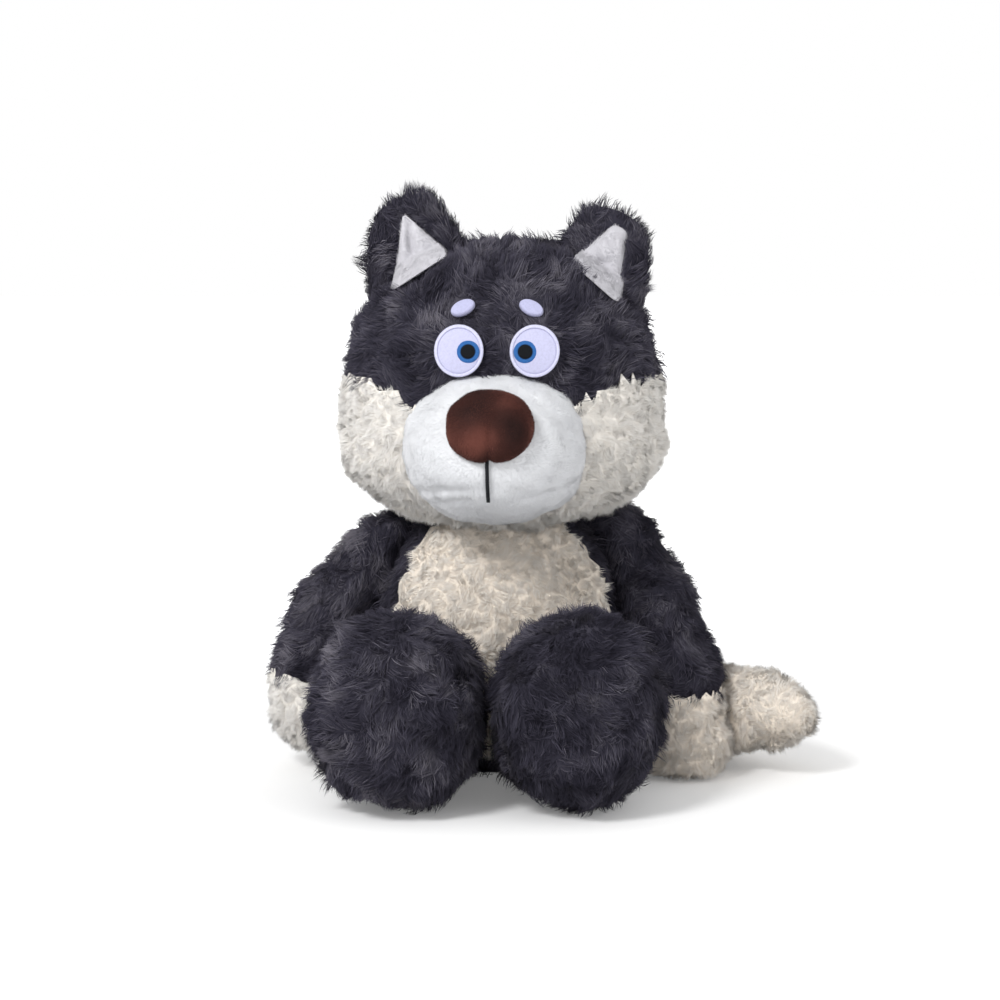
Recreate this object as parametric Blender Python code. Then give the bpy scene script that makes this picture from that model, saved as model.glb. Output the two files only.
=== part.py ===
"""Seated plush husky, about 33 cm tall: sewn fur-fabric skins over loose fibre stuffing.

Each sewn bag is a rounded form. Its fabric is the form less a core one pile depth smaller, cut into the
panels that a maker would sew, and its stuffing fills that core. The face looks along -Y, +Z is up, and
the origin is the middle of the flat seat. Left and right are as seen from the front.
"""

import math

import bmesh
import bpy
from mathutils import Matrix, Vector

# Fabrics, in metres: backing and pile together, and the room left at each seam
PILE = 0.011
MUZZLE_PILE = 0.004
SEAM = 0.0003
STITCH_LAYER = 0.0009
PATCH_LAYER = 0.0016

# Torso: a pear that rests on a flattened seat
TORSO_WIDTH = 0.152
TORSO_DEPTH = 0.132
TORSO_HEIGHT = 0.167
TORSO_BELLY = 0.062
TORSO_FLATTENED = 0.012
TORSO_SQUARENESS = 2.3
CHEST_WIDTH = 0.124
CHEST_HEIGHT = 0.146
CHEST_MIDDLE = 0.086
CHEST_SEAM = 0.012

# Head, measured from the chin up; the torso's top goes in under it
NECK_SINK = 0.028
HEAD_WIDTH = 0.186
HEAD_HEIGHT = 0.168
HEAD_FRONT = 0.080
HEAD_BACK = 0.076
HEAD_CHEEKS = 0.062
HEAD_FORWARD = 0.008
HEAD_TURN = math.radians(-3.0)
HEAD_SQUARENESS = 2.4
CHEEK_WRAP = 0.020
CHEEK_TOP = 0.087
CHEEK_DIP = 0.016
CHEEK_LOBE = 0.034
CHEEK_OVERLAP = 0.014

# Muzzle and nose
MUZZLE_WIDTH = 0.107
MUZZLE_HEIGHT = 0.088
MUZZLE_REACH = 0.043
MUZZLE_ROOT = 0.038
MUZZLE_MIDDLE = 0.053
MUZZLE_SQUARENESS = 2.15
NOSE_WIDTH = 0.047
NOSE_HEIGHT = 0.038
NOSE_DEPTH = 0.024
NOSE_RISE = 0.018
NOSE_LEAN = math.radians(24.0)
NOSE_SQUARENESS = 2.2
MOUTH_LENGTH = 0.022
MOUTH_THREAD = 0.0017

# Eyes and brows: embroidered patches on the crown
EYE_DIAMETER = 0.0285
EYE_TALL = 0.02964
EYE_SPACING = 0.0415
EYE_HEIGHT = 0.107
IRIS_DIAMETER = 0.0126
PUPIL_DIAMETER = 0.0090
SQUINT = 0.0052
BROW_LENGTH = 0.0140
BROW_WIDTH = 0.0074
BROW_RISE = 0.0225
BROW_SPACING = 0.037
BROW_TILT = math.radians(24.0)

# Ears
EAR_WIDTH = 0.080
EAR_LENGTH = 0.088
EAR_THICKNESS = 0.025
EAR_SPACING = 0.102
EARS_RIGHTWARD = 0.0025
EAR_SINK = 0.006
EAR_TAPER = 0.45
EAR_TAPER_POWER = 1.5
EAR_THINNING = 0.35
EAR_FORWARD = 0.010
EAR_TILT_LEFT = math.radians(8.0)
EAR_TILT_RIGHT = math.radians(18.0)
LINING_SHARE = 0.70
LINING_THICKNESS = 0.007
LINING_FORWARD = 0.010
LINING_DROP = 0.005
LINING_INWARD = 0.0025
LININGS_RIGHTWARD = 0.004

# Arms, which hang from the shoulders: -1 is the left one, which bends outward, and 1 the right one
ARM_RADII = {-1: (0.020, 0.030, 0.034), 1: (0.023, 0.027, 0.036)}
SHOULDER_DROP = 0.015
SHOULDER_INSET = {-1: 0.032, 1: 0.021}
ELBOW_HEIGHT = {-1: 0.072, 1: 0.095}
ELBOW_FORWARD = 0.009
ELBOW_REACH = {-1: 0.128, 1: 0.105}
WRIST_HEIGHT = {-1: 0.055, 1: 0.049}
PAW_REACH = {-1: 0.098, 1: 0.102}
PAW_END_HEIGHT = {-1: 0.016, 1: -0.006}
PAW_FRONT = {-1: 0.010, 1: 0.038}
ARM_SQUARENESS = 3.0

# Legs, which lie forward and end in large feet
HIP_RADIUS = 0.036
KNEE_RADIUS = 0.043
FOOT_WIDTH = 0.098
FOOT_HEIGHT = 0.116
FOOT_FLATTENED = 0.004
FOOT_SWELL = 1.25
FOOT_FRONT = 0.155
FOOT_SPREAD = 0.0485
FEET_LEFTWARD = 0.008
KNEE_FORWARD = 0.068
HIP_SPREAD = 0.040
LEG_SQUARENESS = 2.7
FOOT_SECTION = 2.3

# Tail, which leaves the back and curls round to the husky's right, past the right paw
TAIL_ROOT = 0.022
TAIL_THICK = 0.028
TAIL_END = 0.0285
TAIL_BEND_REACH = 0.118
TAIL_BEND_BACK = 0.062
TAIL_TIP_REACH = 0.167
TAIL_TIP_FORWARD = 0.052
TAIL_TIP_LIFT = 0.0105
TAIL_FLATTENED = 0.003
TAIL_TIP_SEAM = 0.077
TAIL_SQUARENESS = 2.8

# How finely each form is divided
HEAD_GRID = {"around": 20, "rings": 12}
MUZZLE_GRID = {"around": 18, "rings": 10}
NOSE_GRID = {"around": 16, "rings": 8}
EAR_GRID = {"around": 18, "rings": 10}
LINING_GRID = {"around": 14, "rings": 8}
TORSO_GRID = {"around": 20, "rings": 10}
LEG_GRID = {"around": 16, "rings": 11}
LIMB_GRID = {"around": 14, "rings": 10}
OVAL_CORNERS = 20
CHEEK_STEPS = 6
SLOPE_STEP = 0.01
SHARP_ANGLE = math.radians(40.0)

# The squareness of a plain round section, and a length that reaches past everything
ROUND = 2.0
FAR = 0.3

# Each finish: its material's name, its linear colour and its roughness
FINISHES = {
    "charcoal": ("charcoal_fur", (0.055, 0.052, 0.062), 0.85),
    "cream": ("cream_fur", (0.84, 0.80, 0.72), 0.9),
    "grey": ("pale_grey_plush", (0.74, 0.74, 0.75), 0.85),
    "white": ("white_plush", (0.88, 0.88, 0.88), 0.8),
    "brown": ("brown_velvet", (0.115, 0.040, 0.028), 0.7),
    "eye_white": ("eye_white_thread", (0.80, 0.80, 0.90), 0.55),
    "blue": ("blue_thread", (0.02, 0.17, 0.62), 0.5),
    "black": ("black_thread", (0.012, 0.012, 0.014), 0.5),
    "fibre": ("stuffing_fibre", (0.92, 0.92, 0.91), 0.95),
}


def clear_scene():
    for obj in list(bpy.data.objects):
        bpy.data.objects.remove(obj, do_unlink=True)


def new_collection(name):
    collection = bpy.data.collections.new(name)
    bpy.context.scene.collection.children.link(collection)
    return collection


def new_material(name, colour, roughness):
    material = bpy.data.materials.new(name)
    material.use_nodes = True
    shader = material.node_tree.nodes["Principled BSDF"]
    shader.inputs["Base Color"].default_value = (*colour, 1.0)
    shader.inputs["Roughness"].default_value = roughness
    shader.inputs["Metallic"].default_value = 0.0
    material.diffuse_color = (*colour, 1.0)
    return material


# Rounded forms

def blend_three(values, t):
    """A quadratic curve through the middle of three values, numbers or vectors."""
    first, middle, last = values
    return first * (1 - t) ** 2 + middle * (2 * t * (1 - t)) + last * t ** 2


def cushion(low, high, centre, squareness):
    """Maps a unit direction to a rounded box that reaches low and high from its centre."""
    def shape(direction, inset):
        total = sum(abs(part) ** squareness for part in direction)
        stretch = total ** (-1.0 / squareness)
        reach = [
            part * ((high[axis] if part > 0 else low[axis]) - inset) * stretch
            for axis, part in enumerate(direction)
        ]
        return centre + Vector(reach)
    return shape


def limb(line, widths, heights, side, squareness, section):
    """Maps a unit direction to a round-ended tube that follows a line of three control points."""
    line = [Vector(point) for point in line]
    length = (line[1] - line[0]).length + (line[2] - line[1]).length

    def shape(direction, inset):
        along = max(-1.0, min(1.0, direction.z))
        margin = inset / length
        t = margin + (1 - 2 * margin) * (along + 1) / 2
        before, after = (blend_three(line, t + step) for step in (-SLOPE_STEP, SLOPE_STEP))
        tangent = (after - before).normalized()
        across = (side - tangent * side.dot(tangent)).normalized()
        upward = tangent.cross(across)
        swell = max(0.0, 1 - abs(along) ** squareness) ** (1 / squareness)
        turn = math.atan2(direction.y, direction.x)
        right, up = math.cos(turn), math.sin(turn)
        swell *= (abs(right) ** section + abs(up) ** section) ** (-1 / section)
        offset = across * (right * (blend_three(widths, t) - inset))
        offset += upward * (up * (blend_three(heights, t) - inset))
        return blend_three(line, t) + offset * swell
    return shape


def leaf(half_width, half_thickness, half_length, taper):
    """Maps a unit direction to an ear: wide and thick at its root, narrow and thin at its rounded tip."""
    def shape(direction, inset):
        rise = (direction.z + 1) / 2
        return Vector((
            direction.x * (half_width * (1 - taper * rise ** EAR_TAPER_POWER) - inset),
            direction.y * (half_thickness * (1 - EAR_THINNING * rise) - inset),
            direction.z * (half_length - inset),
        ))
    return shape


def form_mesh(name, shape, inset=0.0, *, around, rings, floor=None, walls=()):
    """A closed form: a sphere moved onto the shape at some inset, and cut flat at the floor and walls.

    A wall is a point and the direction that it faces. Forms of one shape share their triangles, so
    two of them with different insets stay parallel.
    """
    bm = bmesh.new()
    bmesh.ops.create_uvsphere(bm, u_segments=around, v_segments=rings, radius=1.0)
    bmesh.ops.triangulate(bm, faces=bm.faces[:], quad_method="FIXED")
    for vert in bm.verts:
        vert.co = shape(vert.co.normalized(), inset)
    face_outward(bm)
    cuts = list(walls)
    if floor is not None:
        cuts.append((Vector((0, 0, floor)), Vector((0, 0, -1))))
    for point, facing in cuts:
        cut_flat(bm, point - facing * max(inset, 0.0), facing)
    mesh = bpy.data.meshes.new(name)
    bm.to_mesh(mesh)
    bm.free()
    return mesh


def face_outward(bm):
    bmesh.ops.recalc_face_normals(bm, faces=bm.faces[:])
    if bm.calc_volume(signed=True) < 0:
        bmesh.ops.reverse_faces(bm, faces=bm.faces[:])
    bm.normal_update()


def cut_flat(bm, point, facing):
    """Removes what lies past a plane and closes the cut."""
    everything = bm.verts[:] + bm.edges[:] + bm.faces[:]
    bmesh.ops.bisect_plane(bm, geom=everything, plane_co=point, plane_no=facing, clear_outer=True)
    rim = [edge for edge in bm.edges if edge.is_boundary]
    if rim:
        made = bmesh.ops.contextual_create(bm, geom=rim)
        bmesh.ops.triangulate(bm, faces=made["faces"])
        face_outward(bm)


def prism_mesh(name, outline, front, back):
    """A closed slab with an outline in X and Z, from the front to the back in Y."""
    bm = bmesh.new()
    corners = [bm.verts.new((x, front, z)) for x, z in outline]
    face = bm.faces.new(corners)
    pushed = bmesh.ops.extrude_face_region(bm, geom=[face])
    moved = [item for item in pushed["geom"] if isinstance(item, bmesh.types.BMVert)]
    bmesh.ops.translate(bm, verts=moved, vec=(0, back - front, 0))
    bmesh.ops.recalc_face_normals(bm, faces=bm.faces[:])
    mesh = bpy.data.meshes.new(name)
    bm.to_mesh(mesh)
    bm.free()
    return mesh


def oval_mesh(name, width, height, front, back):
    """A closed oval rod along Y, centred on it."""
    bm = bmesh.new()
    bmesh.ops.create_cone(
        bm, cap_ends=True, segments=OVAL_CORNERS, radius1=0.5, radius2=0.5, depth=back - front
    )
    bmesh.ops.rotate(bm, verts=bm.verts[:], matrix=Matrix.Rotation(math.pi / 2, 3, "X"))
    bmesh.ops.scale(bm, verts=bm.verts[:], vec=(width, 1, height))
    bmesh.ops.translate(bm, verts=bm.verts[:], vec=(0, (front + back) / 2, 0))
    mesh = bpy.data.meshes.new(name)
    bm.to_mesh(mesh)
    bm.free()
    return mesh


def box_mesh(name, low, high):
    bm = bmesh.new()
    bmesh.ops.create_cube(bm, size=1.0)
    size = [b - a for a, b in zip(low, high)]
    middle = [(a + b) / 2 for a, b in zip(low, high)]
    bmesh.ops.scale(bm, verts=bm.verts[:], vec=size)
    bmesh.ops.translate(bm, verts=bm.verts[:], vec=middle)
    mesh = bpy.data.meshes.new(name)
    bm.to_mesh(mesh)
    bm.free()
    return mesh


# The workshop keeps the collections, so that each maker below stays short

class Workshop:
    """Adds panels and cutters, and carves one with the other."""

    def __init__(self):
        self.parts = new_collection("plush_husky")
        self.cutters = new_collection("cutters")

    def panel(self, name, mesh, material, steps=(), parent=None):
        """A sewn piece: a form and the cuts that shape it, each (operation, cutter)."""
        obj = bpy.data.objects.new(name, mesh)
        self.parts.objects.link(obj)
        obj.parent = parent
        mesh.materials.clear()
        mesh.materials.append(material)
        for operation, cutter in steps:
            modifier = obj.modifiers.new(operation.title(), "BOOLEAN")
            modifier.operation = operation
            modifier.solver = "EXACT"
            modifier.object = cutter
        return obj

    def cutter(self, name, mesh, parent=None):
        obj = bpy.data.objects.new(name, mesh)
        self.cutters.objects.link(obj)
        obj.parent = parent
        obj.hide_render = True
        obj.display_type = "WIRE"
        return obj


def make_materials():
    return {
        finish: new_material(name, colour, roughness)
        for finish, (name, colour, roughness) in FINISHES.items()
    }


# Shapes that several makers share

def torso_shape():
    top = TORSO_HEIGHT - TORSO_BELLY
    bottom = TORSO_BELLY + TORSO_FLATTENED
    half = (TORSO_WIDTH / 2, TORSO_DEPTH / 2)
    return cushion((*half, bottom), (*half, top), Vector((0, 0, TORSO_BELLY)), TORSO_SQUARENESS)


def head_shape():
    """In the head's own frame: the chin at height 0, the head's upright axis at X = Y = 0."""
    top = HEAD_HEIGHT - HEAD_CHEEKS
    low = (HEAD_WIDTH / 2, HEAD_FRONT, HEAD_CHEEKS)
    high = (HEAD_WIDTH / 2, HEAD_BACK, top)
    return cushion(low, high, Vector((0, 0, HEAD_CHEEKS)), HEAD_SQUARENESS)


def head_front_at(x, z):
    """How far forward the head's form stands at a place on the face, as a positive distance."""
    rise = z - HEAD_CHEEKS
    reach = HEAD_HEIGHT - HEAD_CHEEKS if rise > 0 else HEAD_CHEEKS
    left = 1 - abs(2 * x / HEAD_WIDTH) ** HEAD_SQUARENESS - abs(rise / reach) ** HEAD_SQUARENESS
    return HEAD_FRONT * max(left, 0.0) ** (1 / HEAD_SQUARENESS)


def head_top_at(x):
    """How high the head's form stands above the chin, at a distance from its middle."""
    left = 1 - abs(2 * x / HEAD_WIDTH) ** HEAD_SQUARENESS
    return HEAD_CHEEKS + (HEAD_HEIGHT - HEAD_CHEEKS) * max(left, 0.0) ** (1 / HEAD_SQUARENESS)


def muzzle_shape():
    half = (MUZZLE_WIDTH / 2, MUZZLE_HEIGHT / 2)
    face = -head_front_at(0.0, MUZZLE_MIDDLE)
    low = (half[0], MUZZLE_REACH + MUZZLE_ROOT, half[1])
    high = (half[0], MUZZLE_ROOT, half[1])
    centre = Vector((0, face + MUZZLE_ROOT, MUZZLE_MIDDLE))
    return cushion(low, high, centre, MUZZLE_SQUARENESS)


def nose_place():
    """Where the nose sits in the head's frame: on the upper front of the muzzle."""
    face = -head_front_at(0.0, MUZZLE_MIDDLE)
    rise = 2 * NOSE_RISE / MUZZLE_HEIGHT
    share = (1 - rise ** MUZZLE_SQUARENESS) ** (1 / MUZZLE_SQUARENESS)
    bulge = (MUZZLE_REACH + MUZZLE_ROOT) * share
    return Vector((0, face + MUZZLE_ROOT - bulge, MUZZLE_MIDDLE + NOSE_RISE))


def arm_shape(side):
    """side is -1 for the left arm and 1 for the right one, which reaches further forward."""
    line = [
        (side * (TORSO_WIDTH / 2 - SHOULDER_INSET[side]), 0, TORSO_HEIGHT - SHOULDER_DROP),
        (side * ELBOW_REACH[side], -ELBOW_FORWARD, ELBOW_HEIGHT[side]),
        (side * PAW_REACH[side], -PAW_FRONT[side], PAW_END_HEIGHT[side]),
    ]
    radii = ARM_RADII[side]
    return limb(line, radii, radii, Vector((0, 1, 0)), ARM_SQUARENESS, ROUND)


def foot_middle(side):
    return side * FOOT_SPREAD - FEET_LEFTWARD


def leg_shape(side):
    widths = (HIP_RADIUS, KNEE_RADIUS, FOOT_WIDTH / 2 * FOOT_SWELL)
    heights = (HIP_RADIUS, KNEE_RADIUS, FOOT_HEIGHT / 2 * FOOT_SWELL)
    line = [
        (side * HIP_SPREAD, 0, heights[0] - FOOT_FLATTENED),
        (foot_middle(side), -KNEE_FORWARD, heights[1] - FOOT_FLATTENED),
        (foot_middle(side), -FOOT_FRONT, heights[2] - FOOT_FLATTENED),
    ]
    return limb(line, widths, heights, Vector((1, 0, 0)), LEG_SQUARENESS, FOOT_SECTION)


def leg_wall(side):
    """The feet press together, each flattened against the other."""
    return [(Vector((side * SEAM - FEET_LEFTWARD, 0, 0)), Vector((-side, 0, 0)))]


def tail_shape():
    line = [
        (0, (TORSO_DEPTH - TAIL_ROOT) / 2, TAIL_ROOT - TAIL_FLATTENED),
        (TAIL_BEND_REACH, TAIL_BEND_BACK, TAIL_THICK - TAIL_FLATTENED),
        (TAIL_TIP_REACH, -TAIL_TIP_FORWARD, TAIL_END + TAIL_TIP_LIFT),
    ]
    radii = (TAIL_ROOT, TAIL_THICK, TAIL_END)
    return limb(line, radii, radii, Vector((0, 0, 1)), TAIL_SQUARENESS, ROUND)


def face_outline(grow):
    """The cream of the face, from the front: a lobe over each cheek that dips beside the muzzle."""
    start = MUZZLE_WIDTH / 2 - CHEEK_OVERLAP
    lobe = []
    for step in range(CHEEK_STEPS + 1):
        share = step / CHEEK_STEPS
        rise = CHEEK_DIP * (1 - math.sin(share * math.pi / 2))
        lobe.append((start + share * CHEEK_LOBE, CHEEK_TOP - rise + grow))
    lobe.append((FAR, CHEEK_TOP + grow))
    return [(-FAR, -FAR), (FAR, -FAR), *reversed(lobe), *[(-x, z) for x, z in lobe]]


def build_head(shop, finish):
    """The crown, the two cheeks that meet under the chin, the muzzle and what sits on them."""
    axis = bpy.data.objects.new("head_axis", None)
    shop.cutters.objects.link(axis)
    axis.location = (0, -HEAD_FORWARD, TORSO_HEIGHT - NECK_SINK)
    axis.rotation_euler = (0, 0, HEAD_TURN)
    head, muzzle = head_shape(), muzzle_shape()

    def head_form(name, inset):
        return form_mesh(name, head, inset, **HEAD_GRID)

    def muzzle_form(name, inset):
        return form_mesh(name, muzzle, inset, **MUZZLE_GRID)

    core = shop.cutter("head_core", head_form("head_core", PILE), axis)
    inner = shop.cutter("head_lining", head_form("head_lining", PILE - SEAM), axis)
    head_around = shop.cutter("head_around", head_form("head_around", -SEAM), axis)
    muzzle_around = shop.cutter("muzzle_around", muzzle_form("muzzle_around", -SEAM), axis)
    muzzle_core = shop.cutter("muzzle_core", muzzle_form("muzzle_core", MUZZLE_PILE), axis)
    face = prism_mesh("face_panel", face_outline(0.0), -FAR, CHEEK_WRAP)
    face_panel = shop.cutter("face_panel", face, axis)
    face_grown = prism_mesh("face_grown", face_outline(SEAM), -FAR, CHEEK_WRAP + SEAM)
    face_around = shop.cutter("face_grown", face_grown, axis)

    shop.panel("crown_skin", head_form("crown_skin", 0.0), finish["charcoal"], [
        ("DIFFERENCE", core), ("DIFFERENCE", face_around), ("DIFFERENCE", muzzle_around),
    ], axis)
    for side, name in ((-1, "left"), (1, "right")):
        low, high = sorted((side * SEAM / 2, side * FAR))
        half = shop.cutter(
            f"face_half_{name}", box_mesh(f"face_half_{name}", (low, -FAR, -FAR), (high, FAR, FAR)), axis
        )
        shop.panel(f"cheek_skin_{name}", head_form(f"cheek_skin_{name}", 0.0), finish["cream"], [
            ("DIFFERENCE", core), ("INTERSECT", face_panel),
            ("INTERSECT", half), ("DIFFERENCE", muzzle_around),
        ], axis)
    shop.panel("muzzle_skin", muzzle_form("muzzle_skin", 0.0), finish["white"], [
        ("DIFFERENCE", muzzle_core), ("DIFFERENCE", inner),
    ], axis)
    muzzle_fill = shop.cutter("muzzle_fill", muzzle_form("muzzle_fill", MUZZLE_PILE + SEAM), axis)
    shop.panel("head_stuffing", head_form("head_stuffing", PILE + SEAM), finish["fibre"], [
        ("UNION", muzzle_fill),
    ], axis)

    nose = build_nose(shop, finish, axis, muzzle_around)
    build_mouth(shop, finish, axis, muzzle_form, muzzle_around, nose)
    build_eyes(shop, finish, axis, head_form, muzzle_around)
    build_ears(shop, finish, axis, head_around)
    return head_around


def build_nose(shop, finish, axis, muzzle_around):
    """A small velvet bag, stuffed and sewn shut, on the upper front of the muzzle."""
    half = (NOSE_WIDTH / 2, NOSE_DEPTH / 2, NOSE_HEIGHT / 2)
    lean = Matrix.Rotation(-NOSE_LEAN, 3, "X")
    centre = nose_place()
    bag = cushion(half, half, Vector(), NOSE_SQUARENESS)

    def placed(direction, inset):
        return centre + lean @ bag(direction, inset)

    shop.panel("nose", form_mesh("nose", placed, **NOSE_GRID), finish["brown"], [
        ("DIFFERENCE", muzzle_around),
    ], axis)
    return shop.cutter("nose_around", form_mesh("nose_around", placed, -SEAM, **NOSE_GRID), axis)


def build_mouth(shop, finish, axis, muzzle_form, muzzle_around, nose_around):
    """One run of black thread down the muzzle, from the nose."""
    raised = shop.cutter("mouth_raised", muzzle_form("mouth_raised", -SEAM - STITCH_LAYER), axis)
    top = nose_place().z
    bottom = top - NOSE_HEIGHT / 2 * math.cos(NOSE_LEAN) - MOUTH_LENGTH
    half = MOUTH_THREAD / 2
    thread = box_mesh("mouth_thread", (-half, -FAR, bottom), (half, -HEAD_FRONT / 2, top))
    shop.panel("mouth_thread", thread, finish["black"], [
        ("INTERSECT", raised), ("DIFFERENCE", muzzle_around), ("DIFFERENCE", nose_around),
    ], axis)


def build_eyes(shop, finish, axis, head_form, muzzle_around):
    """Each eye is three layers of stitching, and each brow is one."""
    levels = [SEAM, SEAM + PATCH_LAYER]
    for _ in range(2):
        levels.append(levels[-1] + SEAM)
        levels.append(levels[-1] + STITCH_LAYER)
    shells = {
        level: shop.cutter(f"stitch_level_{n}", head_form(f"stitch_level_{n}", -level), axis)
        for n, level in enumerate(levels)
    }

    def patch(name, material, place, size, level, tilt=0.0):
        below, above = shells[levels[level]], shells[levels[level + 1]]
        rod = oval_mesh(name, size[0], size[1], -FAR, -HEAD_FRONT / 3)
        rod.transform(Matrix.Rotation(tilt, 4, "Y"))
        rod.transform(Matrix.Translation((place[0], 0, place[1])))
        shop.panel(name, rod, material, [
            ("INTERSECT", above), ("DIFFERENCE", below), ("DIFFERENCE", muzzle_around),
        ], axis)

    for side, name in ((-1, "left"), (1, "right")):
        eye = (side * EYE_SPACING / 2, EYE_HEIGHT)
        gaze = (eye[0] - side * SQUINT, EYE_HEIGHT)
        brow = (side * BROW_SPACING / 2, EYE_HEIGHT + BROW_RISE)
        patch(f"eye_white_{name}", finish["eye_white"], eye, (EYE_DIAMETER, EYE_TALL), 0)
        patch(f"iris_{name}", finish["blue"], gaze, (IRIS_DIAMETER, IRIS_DIAMETER), 2)
        patch(f"pupil_{name}", finish["black"], gaze, (PUPIL_DIAMETER, PUPIL_DIAMETER), 4)
        patch(f"brow_{name}", finish["eye_white"], brow, (BROW_LENGTH, BROW_WIDTH), 0, side * BROW_TILT)


def build_ears(shop, finish, axis, head_around):
    """Each ear is a stuffed leaf of fur fabric with a smooth lining let into its front."""
    half = (EAR_WIDTH / 2, EAR_THICKNESS / 2, EAR_LENGTH / 2)
    for side, name, tilt in ((-1, "left", EAR_TILT_LEFT), (1, "right", EAR_TILT_RIGHT)):
        across = side * EAR_SPACING / 2 + EARS_RIGHTWARD
        spot = Vector((across, -EAR_FORWARD, head_top_at(EAR_SPACING / 2) - EAR_SINK))
        turn = Matrix.Rotation(side * tilt, 3, "Y")
        outer = leaf(half[0], half[1], half[2], EAR_TAPER)
        front = leaf(half[0] * LINING_SHARE, LINING_THICKNESS, half[2] * LINING_SHARE, EAR_TAPER)
        drop = Vector((LININGS_RIGHTWARD - side * LINING_INWARD, -LINING_FORWARD, -LINING_DROP))

        def ear(direction, inset):
            return spot + turn @ outer(direction, inset)

        def lining(direction, inset):
            return spot + turn @ (front(direction, inset) + drop)

        pocket_mesh = form_mesh(f"ear_pocket_{name}", lining, -SEAM, **LINING_GRID)
        pocket = shop.cutter(f"ear_pocket_{name}", pocket_mesh, axis)
        skin = form_mesh(f"ear_{name}", ear, **EAR_GRID)
        shop.panel(f"ear_{name}", skin, finish["charcoal"], [
            ("DIFFERENCE", head_around), ("DIFFERENCE", pocket),
        ], axis)
        inside = form_mesh(f"ear_lining_{name}", lining, **LINING_GRID)
        shop.panel(f"ear_lining_{name}", inside, finish["grey"], [("DIFFERENCE", head_around)], axis)


def build_torso(shop, finish, head_around):
    """A back panel that wraps under the seat, a chest panel let into its front, and the stuffing."""
    shape = torso_shape()

    def torso_form(name, inset):
        return form_mesh(name, shape, inset, floor=0.0, **TORSO_GRID)

    core = shop.cutter("torso_core", torso_form("torso_core", PILE))

    def chest_cut(name, grow):
        width, height = (size + grow + grow for size in (CHEST_WIDTH, CHEST_HEIGHT))
        oval = oval_mesh(name, width, height, -FAR, grow - CHEST_SEAM)
        oval.transform(Matrix.Translation((0, 0, CHEST_MIDDLE)))
        return shop.cutter(name, oval)

    chest_panel, chest_around = chest_cut("chest_panel", 0.0), chest_cut("chest_around", SEAM)
    shop.panel("back_skin", torso_form("back_skin", 0.0), finish["charcoal"], [
        ("DIFFERENCE", core), ("DIFFERENCE", head_around), ("DIFFERENCE", chest_around),
    ])
    shop.panel("chest_skin", torso_form("chest_skin", 0.0), finish["cream"], [
        ("DIFFERENCE", core), ("DIFFERENCE", head_around), ("INTERSECT", chest_panel),
    ])
    shop.panel("torso_stuffing", torso_form("torso_stuffing", PILE + SEAM), finish["fibre"], [
        ("DIFFERENCE", head_around),
    ])
    return shop.cutter("torso_around", form_mesh("torso_around", shape, -SEAM, **TORSO_GRID))


def build_legs(shop, finish, torso_around):
    """Each leg is one bag of fur fabric from the hip to the sole."""
    beside = {}
    for side, name in ((-1, "left"), (1, "right")):
        shape, wall = leg_shape(side), leg_wall(side)
        size = {"floor": 0.0, "walls": wall, **LEG_GRID}
        core = shop.cutter(f"leg_core_{name}", form_mesh(f"leg_core_{name}", shape, PILE, **size))
        skin = form_mesh(f"leg_skin_{name}", shape, **size)
        shop.panel(f"leg_skin_{name}", skin, finish["charcoal"], [
            ("DIFFERENCE", core), ("DIFFERENCE", torso_around),
        ])
        fill = form_mesh(f"leg_stuffing_{name}", shape, PILE + SEAM, **size)
        shop.panel(f"leg_stuffing_{name}", fill, finish["fibre"], [("DIFFERENCE", torso_around)])
        near = form_mesh(f"leg_around_{name}", shape, -SEAM, **LEG_GRID)
        beside[side] = shop.cutter(f"leg_around_{name}", near)
    return beside


def build_arms(shop, finish, torso_around, head_around, leg_around):
    """Each arm is a charcoal sleeve and a cream paw, sewn at the wrist, over one stuffing."""
    beside = {}
    for side, name in ((-1, "left"), (1, "right")):
        shape = arm_shape(side)
        size = {"floor": 0.0, **LIMB_GRID}
        core = shop.cutter(f"arm_core_{name}", form_mesh(f"arm_core_{name}", shape, PILE, **size))
        paw_cuts = []
        for cut, grow in ((f"paw_part_{name}", 0.0), (f"paw_grown_{name}", SEAM)):
            box = box_mesh(cut, (-FAR, -FAR, -FAR), (FAR, FAR, WRIST_HEIGHT[side] + grow))
            paw_cuts.append(shop.cutter(cut, box))
        paw_part, paw_grown = paw_cuts
        clear = [
            ("DIFFERENCE", torso_around), ("DIFFERENCE", head_around), ("DIFFERENCE", leg_around[side]),
        ]
        sleeve = form_mesh(f"sleeve_{name}", shape, **size)
        shop.panel(f"sleeve_{name}", sleeve, finish["charcoal"], [
            ("DIFFERENCE", core), *clear, ("DIFFERENCE", paw_grown),
        ])
        paw = form_mesh(f"paw_{name}", shape, **size)
        shop.panel(f"paw_{name}", paw, finish["cream"], [
            ("DIFFERENCE", core), *clear, ("INTERSECT", paw_part),
        ])
        fill = form_mesh(f"arm_stuffing_{name}", shape, PILE + SEAM, **size)
        shop.panel(f"arm_stuffing_{name}", fill, finish["fibre"], clear)
        near = form_mesh(f"arm_around_{name}", shape, -SEAM, **LIMB_GRID)
        beside[side] = shop.cutter(f"arm_around_{name}", near)
    return beside


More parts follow.
